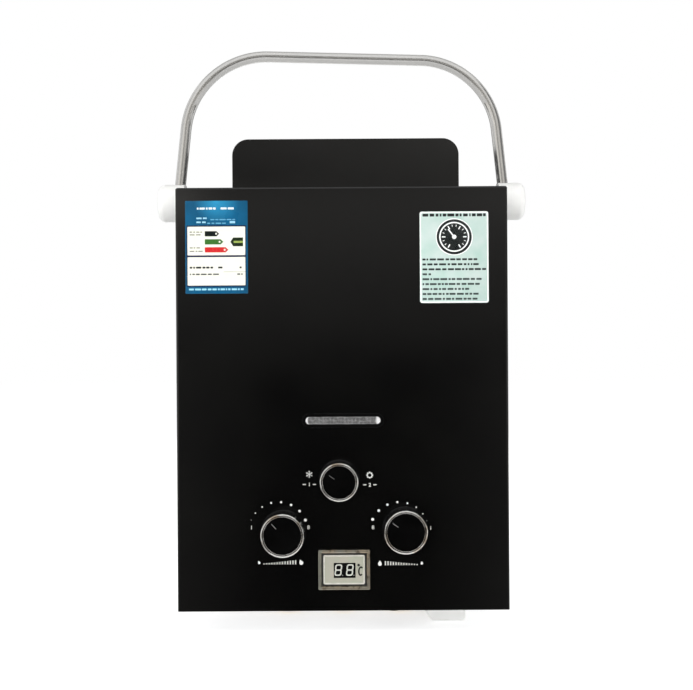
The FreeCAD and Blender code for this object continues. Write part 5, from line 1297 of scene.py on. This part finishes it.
# Painted shade: between the wires, the closed cells are coloured near black.
tint(wire, maths(wire.tree, "SUBTRACT", 1, on_wire), grey(0.004))
feed(wire.shader, "Metallic", maths(wire.tree, "MULTIPLY", on_wire, WIRE_METALLIC))
PITCH, WIRE_WIDTH, SWAY, POINTS_PER_PITCH = 1.2, 0.48, 0.55, 10
mesh_width, mesh_height = open_half[0] - 0.03, open_half[1] - 0.03
columns = int(2 * mesh_width / PITCH * POINTS_PER_PITCH) + 1
rows = int(2 * mesh_height / PITCH * POINTS_PER_PITCH) + 1
a = np.linspace(-mesh_width, mesh_width, columns)
end_room = mesh_width - mesh_height
reach = np.sqrt(np.maximum(mesh_height ** 2 - np.maximum(np.abs(a) - end_room, 0) ** 2, 0.01))
share = np.linspace(-1, 1, rows)[:, None]
plan_a, plan_b = np.broadcast_to(a, (rows, columns)), share * reach
u, v = np.pi * plan_a / PITCH, np.pi * plan_b / PITCH
rise = SWAY * np.cos(u) * np.cos(v)
upright = np.exp(-(np.sin(u) / WIRE_WIDTH) ** 2) * (1 + rise) / (1 + SWAY)
level = np.exp(-(np.sin(v) / WIRE_WIDTH) ** 2) * (1 - rise) / (1 + SWAY)
weave = np.maximum(upright, level)
top = np.stack([plan_a, plan_b, weave * 0.28 - 0.32], -1).reshape(-1, 3)
under = np.stack([plan_a, plan_b, 0 * weave - 0.38], -1).reshape(-1, 3)
size = rows * columns
front_faces = grid_faces(rows, columns, close_columns=False)
rear_faces = [[size + k for k in face[::-1]] for face in front_faces]
edge = np.concatenate([np.arange(columns), np.arange(1, rows) * columns + columns - 1,
                       (rows - 1) * columns + np.arange(columns - 2, -1, -1),
                       np.arange(rows - 2, 0, -1) * columns])
after = np.roll(edge, -1)
side_faces = np.stack([size + edge, size + after, after, edge], -1).tolist()
strip = add_piece("window_wire", (np.vstack([top, under]), front_faces + rear_faces + side_faces),
                  rim_centre, "woven_wire", "case", ["window_mesh"])
strip.data.attributes.new("height", "FLOAT", "POINT").data.foreach_set(
    "value", np.concatenate([weave.ravel(), 0 * weave.ravel()]))
print("wire strip:", count(strip), "triangles")

# %% [markdown]
# ## The two labels
# Two paper labels with a lacquer film sit at the top of the panel. One is blue with pale
# panels and pointed bars. The other is mint with a dark disc over rows of small print.
# They carry no words, only the sort of blocks that such labels are laid out from. Each
# label is a thin plate with rounded corners, and its blocks are print on it.


# %% Label plates
def label_plate(name, node, finish_name, radius, trim=(0, 0)):
    """The label's paper, trimmed on each side, which takes the place of its solid."""
    half, middle, _, thick = on_panel(node)
    paper = plate(half[0] - trim[0], half[1] - trim[1], radius,
                  [(0, 0), (0, thick - 0.05), (0.05, thick - 0.02)])
    return add_piece(name, paper, middle, finish_name, "case", [node])


blue = finish("sticker_blue", ink(12, 92, 132), ink(12, 72, 104), 0.3, specular=0.12,
              texture=(0.6, 0.003, 22), rubbed=ink(150, 190, 205), rub_width=0.3, dust=0.0)
# Painted sheen: the blue grows paler towards the middle of the label's top edge.
half, middle = on_panel("left_sticker")[:2]
top_middle = (middle[0] * MM, middle[1] * MM, (middle[2] + half[1]) * MM)
painted_sheen_distance = add_node(blue.tree, "ShaderNodeVectorMath", {0: blue.place, 1: top_middle},
                    operation="DISTANCE").outputs["Value"]
tint(blue, spread(blue.tree, painted_sheen_distance, 2 * MM, 20 * MM, 0.8, 0.0), ink(44, 150, 196))
finish("sticker_mint", ink(176, 202, 193), ink(196, 210, 205), 0.34, specular=0.12,
       texture=(0.6, 0.003, 14), rubbed=ink(240, 240, 236), rub_width=0.3, dust=0.0)
MINT_TRIM = 0.5, 0.95
for piece in (label_plate("blue_label", "left_sticker", "sticker_blue", 0.6),
              label_plate("mint_label", "right_sticker", "sticker_mint", 2.0, MINT_TRIM)):
    print(piece.name, count(piece), "triangles")

# %% [markdown]
# ## Blocks and rows of print
# Every block is placed in shares of the label, so that the layout follows its size. A row
# of print too small to read is a run of short blocks of changing length. A bar with one
# pointed end is five corners.


# %% Blocks, rows and pointed bars
def start_label(node):
    """Take a label's size for the blocks that follow, and clear their list."""
    global half_width, half_height, middle, label_low, label_high, blocks
    (half_width, half_height), middle, _, thick = on_panel(node)
    label_low, label_high, blocks = thick - 0.018, thick - 0.002, []


def plan_place(x, y):
    """A place in shares of the label as millimetres from its middle."""
    return np.array([(2 * x - 1) * half_width, (2 * y - 1) * half_height])


def ink_shape(outline, colour, level=0):
    """Add one closed outline in a colour, on top of the levels below it."""
    blocks.append((*prism(outline, label_low, label_high + 0.012 * level), colour))


def block(left, right, bottom, top, colour, radius=0.3, level=0):
    """A rounded block between four shares of the label."""
    size = (right - left) * half_width, (top - bottom) * half_height
    place = plan_place((left + right) / 2, (bottom + top) / 2)
    ink_shape(box_outline(*size, place, min(radius, 0.95 * min(size))), colour, level)


def small_print(left, right, height, level_at, colour, seed, level=1):
    """A row of short blocks about a height. Their lengths are random but always the same."""
    random = np.random.default_rng(seed)
    start = left
    while start < right - 0.02:
        end = min(start + random.uniform(0.02, 0.10), right)
        block(start, end, level_at - height / 2, level_at + height / 2, colour, 0.3, level)
        start = end + random.uniform(0.012, 0.022)


def pointed_bar(blunt, tip, height, level_at, colour, level=1):
    """A bar from its blunt end to its tip, whose last part narrows to a point."""
    shoulder = tip - np.sign(tip - blunt) * 0.045
    low, high = level_at - height / 2, level_at + height / 2
    outline = np.array([plan_place(*corner) for corner in (
        (blunt, low), (shoulder, low), (tip, level_at), (shoulder, high), (blunt, high))])
    ink_shape(outline if tip > blunt else outline[::-1], colour, level)


print("blocks and rows ready")

# %% Blocks on the blue label
start_label("left_sticker")
PAPER, NAVY, SKY = ink(236, 236, 222), ink(4, 22, 62), ink(150, 205, 228)
ICE, MID_BLUE = ink(226, 240, 244), ink(96, 170, 205)
top_rows = ((0.19, 0.49, 0.022, 0.917, ICE), (0.57, 0.81, 0.022, 0.917, ICE),
            (0.18, 0.37, 0.018, 0.812, SKY), (0.405, 0.80, 0.012, 0.797, MID_BLUE),
            (0.18, 0.33, 0.018, 0.769, SKY), (0.355, 0.68, 0.012, 0.758, MID_BLUE))
for seed, row in enumerate(top_rows, 3):
    small_print(*row, seed)
block(0.713, 0.80, 0.757, 0.781, SKY, 0.3, 1)
block(0.02, 0.975, 0.075, 0.735, NAVY, 0.6)
block(0.035, 0.96, 0.413, 0.722, PAPER, 0.6, 1)
block(0.035, 0.96, 0.088, 0.394, PAPER, 0.6, 1)
for level_at, tip, dot, colour in ((0.645, 0.545, 0.495, ink(4, 16, 12)),
                                   (0.558, 0.610, 0.550, ink(46, 106, 26)),
                                   (0.472, 0.690, 0.630, ink(206, 22, 24))):
    pointed_bar(0.313, tip, 0.056, level_at, colour, 2)
    ink_shape(circle(0.85, plan_place(dot, level_at), 20), PAPER, 3)
pointed_bar(0.925, 0.722, 0.094, 0.556, ink(16, 34, 6), 2)
block(0.775, 0.925, 0.545, 0.567, ink(150, 170, 78), 0.4, 3)
for row, (level_at, right) in enumerate(((0.664, 0.27), (0.634, 0.28), (0.494, 0.27),
                                         (0.457, 0.28))):
    small_print(0.07, right, 0.012, level_at, ink(128, 128, 112), 20 + row, 2)
for row, (left, right) in enumerate(((0.07, 0.48), (0.523, 0.593), (0.867, 0.915))):
    small_print(left, right, 0.020, 0.281, ink(38, 40, 40), 30 + row, 2)
block(0.61, 0.958, 0.233, 0.238, ink(190, 190, 176), 0.1, 2)
for row, (left, right) in enumerate(((0.07, 0.555), (0.829, 0.915))):
    small_print(left, right, 0.016, 0.209, ink(84, 86, 82), 34 + row, 2)
small_print(0.055, 0.93, 0.020, 0.046, ink(150, 212, 236), 40)
blue_print = add_print("blue_label_print", blocks, middle, "label_ink", "case")
print("blue label:", len(blocks), "blocks,", count(blue_print), "triangles")

# %% Disc and rows on the mint label
start_label("right_sticker")
DARK, MINT_EDGE = ink(20, 26, 25), ink(246, 248, 246)
edge_loops = [rounded_rectangle(half_width - MINT_TRIM[0] - inset,
                                half_height - MINT_TRIM[1] - inset, radius)
              for inset, radius in ((0.2, 1.8), (1.3, 1.2))]
blocks.append((*filled([edge_loops[0], edge_loops[1][::-1]], label_low, label_high), MINT_EDGE))
disc_place = plan_place(0.502, 0.717)
for level, (radius, colour) in enumerate(((16.1, MINT_EDGE), (15.3, DARK), (13.1, MINT_EDGE),
                                          (11.9, DARK))):
    ink_shape(circle(radius, disc_place, 72), colour, level)
for angle in range(-60, 241, 20):
    start, width = (7.6, 1.0) if angle % 60 == 0 else (9.0, 0.55)
    ink_shape(spoke(10.8, width, angle, disc_place, start), MINT_EDGE, 4)
ink_shape(circle(1.9, disc_place, 32), MINT_EDGE, 4)
ink_shape(spoke(8.6, 1.1, 128, disc_place, 0.5), MINT_EDGE, 5)
small_print(0.05, 0.955, 0.030, 0.950, DARK, 50)
FIRST_ROW, ROW_STEP = 0.477, 0.0527
row_ends = (0.845, 0.85, 0.955, 0.18, 0.925, 0.88, 0.72, 0.855, 0.84)
for row, right in enumerate(row_ends):
    small_print(0.045, right, 0.021, FIRST_ROW - ROW_STEP * row,
                ink(30, 40, 38) if row < 3 else ink(54, 66, 64), 60 + row)
mint_print = add_print("mint_label_print", blocks, middle, "label_ink", "case")
print("mint label:", len(blocks), "blocks,", count(mint_print), "triangles")

# %% [markdown]
# ## Threaded fittings
# Gas and cold water come in, and hot water leaves, through three brass tails under the
# case. Each is one turned shape with a blind bore. The thread is taken from the radius: a
# V with flat crests and roots whose phase grows with the height and falls with the angle,
# which makes one helix. It runs out at both ends as a cut thread does. The tails stop just
# short of their solids' ends, so that the case's lower edge hides them from the front.

# %% Thread and fittings
THREAD_PITCH, THREAD_DEPTH, CREST, ROOT, NECK = 1.814, 1.16, 10.4775, 9.4775, 9.0
BORE_RADIUS, FLOOR_DEPTH, TAIL_SHORT = 6.5, 3.0, 0.8


def make_fitting(node):
    """One fitting, from the box of its solid: widest at the collar, inside the case."""
    low, high = node_box(node)
    low[2] += TAIL_SHORT
    collar = (high[0] - low[0]) / 2
    thread_low, thread_high = low[2] + 1.0, -1.5

    def helix(r, h, a):
        """Minus the depth of the groove: high where h / pitch - a / 2 pi is a whole number."""
        phase = np.mod(h / THREAD_PITCH - a / (2 * np.pi), 1)
        groove = np.clip(1.3 * (1 - np.abs(2 * phase - 1)) - 0.15, 0, 1)
        fade = np.clip((h - thread_low) / 1.2, 0, 1) * np.clip((thread_high - h) / 0.9, 0, 1)
        return -THREAD_DEPTH * groove * fade * (r > ROOT + 0.2) * (h < thread_high)

    profile = ([(0, high[2] - FLOOR_DEPTH), (BORE_RADIUS, high[2] - FLOOR_DEPTH),
                (BORE_RADIUS, low[2] + 0.6), (BORE_RADIUS + 0.6, low[2]), (ROOT, low[2])]
               + [(CREST, h) for h in np.linspace(thread_low, thread_high, 150)]
               + [(ROOT, thread_high), (ROOT, 1.0), (collar - 0.5, 1.0), (collar, 1.5),
                  (collar, 7.5), (collar - 0.5, 8.0), (NECK, 8.0), (NECK, high[2]), (0, high[2])])
    centre = ((low[0] + high[0]) / 2, (low[1] + high[1]) / 2, 0)
    return add_piece(node + "_fitting", turned(profile, steps=72, ripple=helix), centre, "brass",
                     "case", [node], "up")


for node in ("gas_inlet", "cold_inlet", "hot_outlet"):
    print(node, count(make_fitting(node)), "triangles")

# %% [markdown]
# ## Screws
# The case is closed with pan-head screws, four through its sides and four under the top
# that hold the rain cap. A screw's head is a dome with a cross pressed into it, and that
# is a height over a disc: the dome falls away with a power of the radius, and two slots
# with sloping walls are taken from it.


# %% Screw heads
screw_low, screw_high = node_box("case_screws")
HEAD_RADIUS, HEAD_HEIGHT = 3.75, screw_high[0] - CASE_SIDE


def screw_head(turn, steps=64, rings=20):
    """A domed head: its height falls with (r/R)^2.6, and a cross is pressed half as deep."""
    def groove(across, along):
        """1 in one slot of the cross, falling to 0 over its walls and towards its ends."""
        return (np.clip(1.6 - np.abs(across) / (0.11 * HEAD_RADIUS), 0, 1)
                * np.clip(3.2 - np.abs(along) / (0.19 * HEAD_RADIUS), 0, 1))

    def cross(r, a):
        """The depth of both slots at a radius and an angle."""
        x, y = r * np.cos(a - math.radians(turn)), r * np.sin(a - math.radians(turn))
        return 0.5 * HEAD_HEIGHT * np.maximum(groove(x, y), groove(y, x))

    dome = [(HEAD_RADIUS * share, HEAD_HEIGHT * (1 - 0.55 * share ** 2.6))
            for share in np.linspace(1, 1 / rings, rings)]
    return turned([(0, 0), (HEAD_RADIUS, 0)] + dome + [(0, HEAD_HEIGHT / 2)], steps, press=cross)


def screw(place, facing, shank, turn):
    """Head and shank of one screw, laid on the side of the heater that it closes."""
    points, faces = joined([screw_head(turn), prism(circle(2.0, (0, 0), 24), -shank, 0.1)])
    return lay(points, place, facing), faces


side_y = screw_high[1] - HEAD_RADIUS
low_z, high_z = screw_low[2] + HEAD_RADIUS, CASE_TOP - 50
screws = [screw((side * CASE_SIDE, side_y, z), facing, 6, turn)
          for side, facing, turns in ((-1, "left", (20, 65)), (1, "right", (50, 8)))
          for z, turn in zip((low_z, high_z), turns)]
solid = frame["nodes"]["case_screws"].data
spots = np.empty(len(solid.vertices) * 3)
solid.vertices.foreach_get("co", spots)
spots = spots.reshape(-1, 3) / MM
under_top = spots[(np.abs(spots[:, 0]) < CASE_SIDE - 10) & (spots[:, 2] > high_z + 20)]
near, far = under_top.min(0) + HEAD_RADIUS, under_top.max(0) - HEAD_RADIUS
screws += [screw((x, y, under_top[:, 2].min() + HEAD_HEIGHT), "down",
                 under_top[:, 2].max() - under_top[:, 2].min() - HEAD_HEIGHT, 10 * x)
           for x in (near[0], far[0]) for y in (near[1], far[1])]
heads = add_piece("case_screw_heads", joined(screws), (0, 0, 0), "steel_hardware", "case",
                  ["case_screws"], "up")
print("screws:", len(screws), "with", count(heads), "triangles; under the top at", near, far)
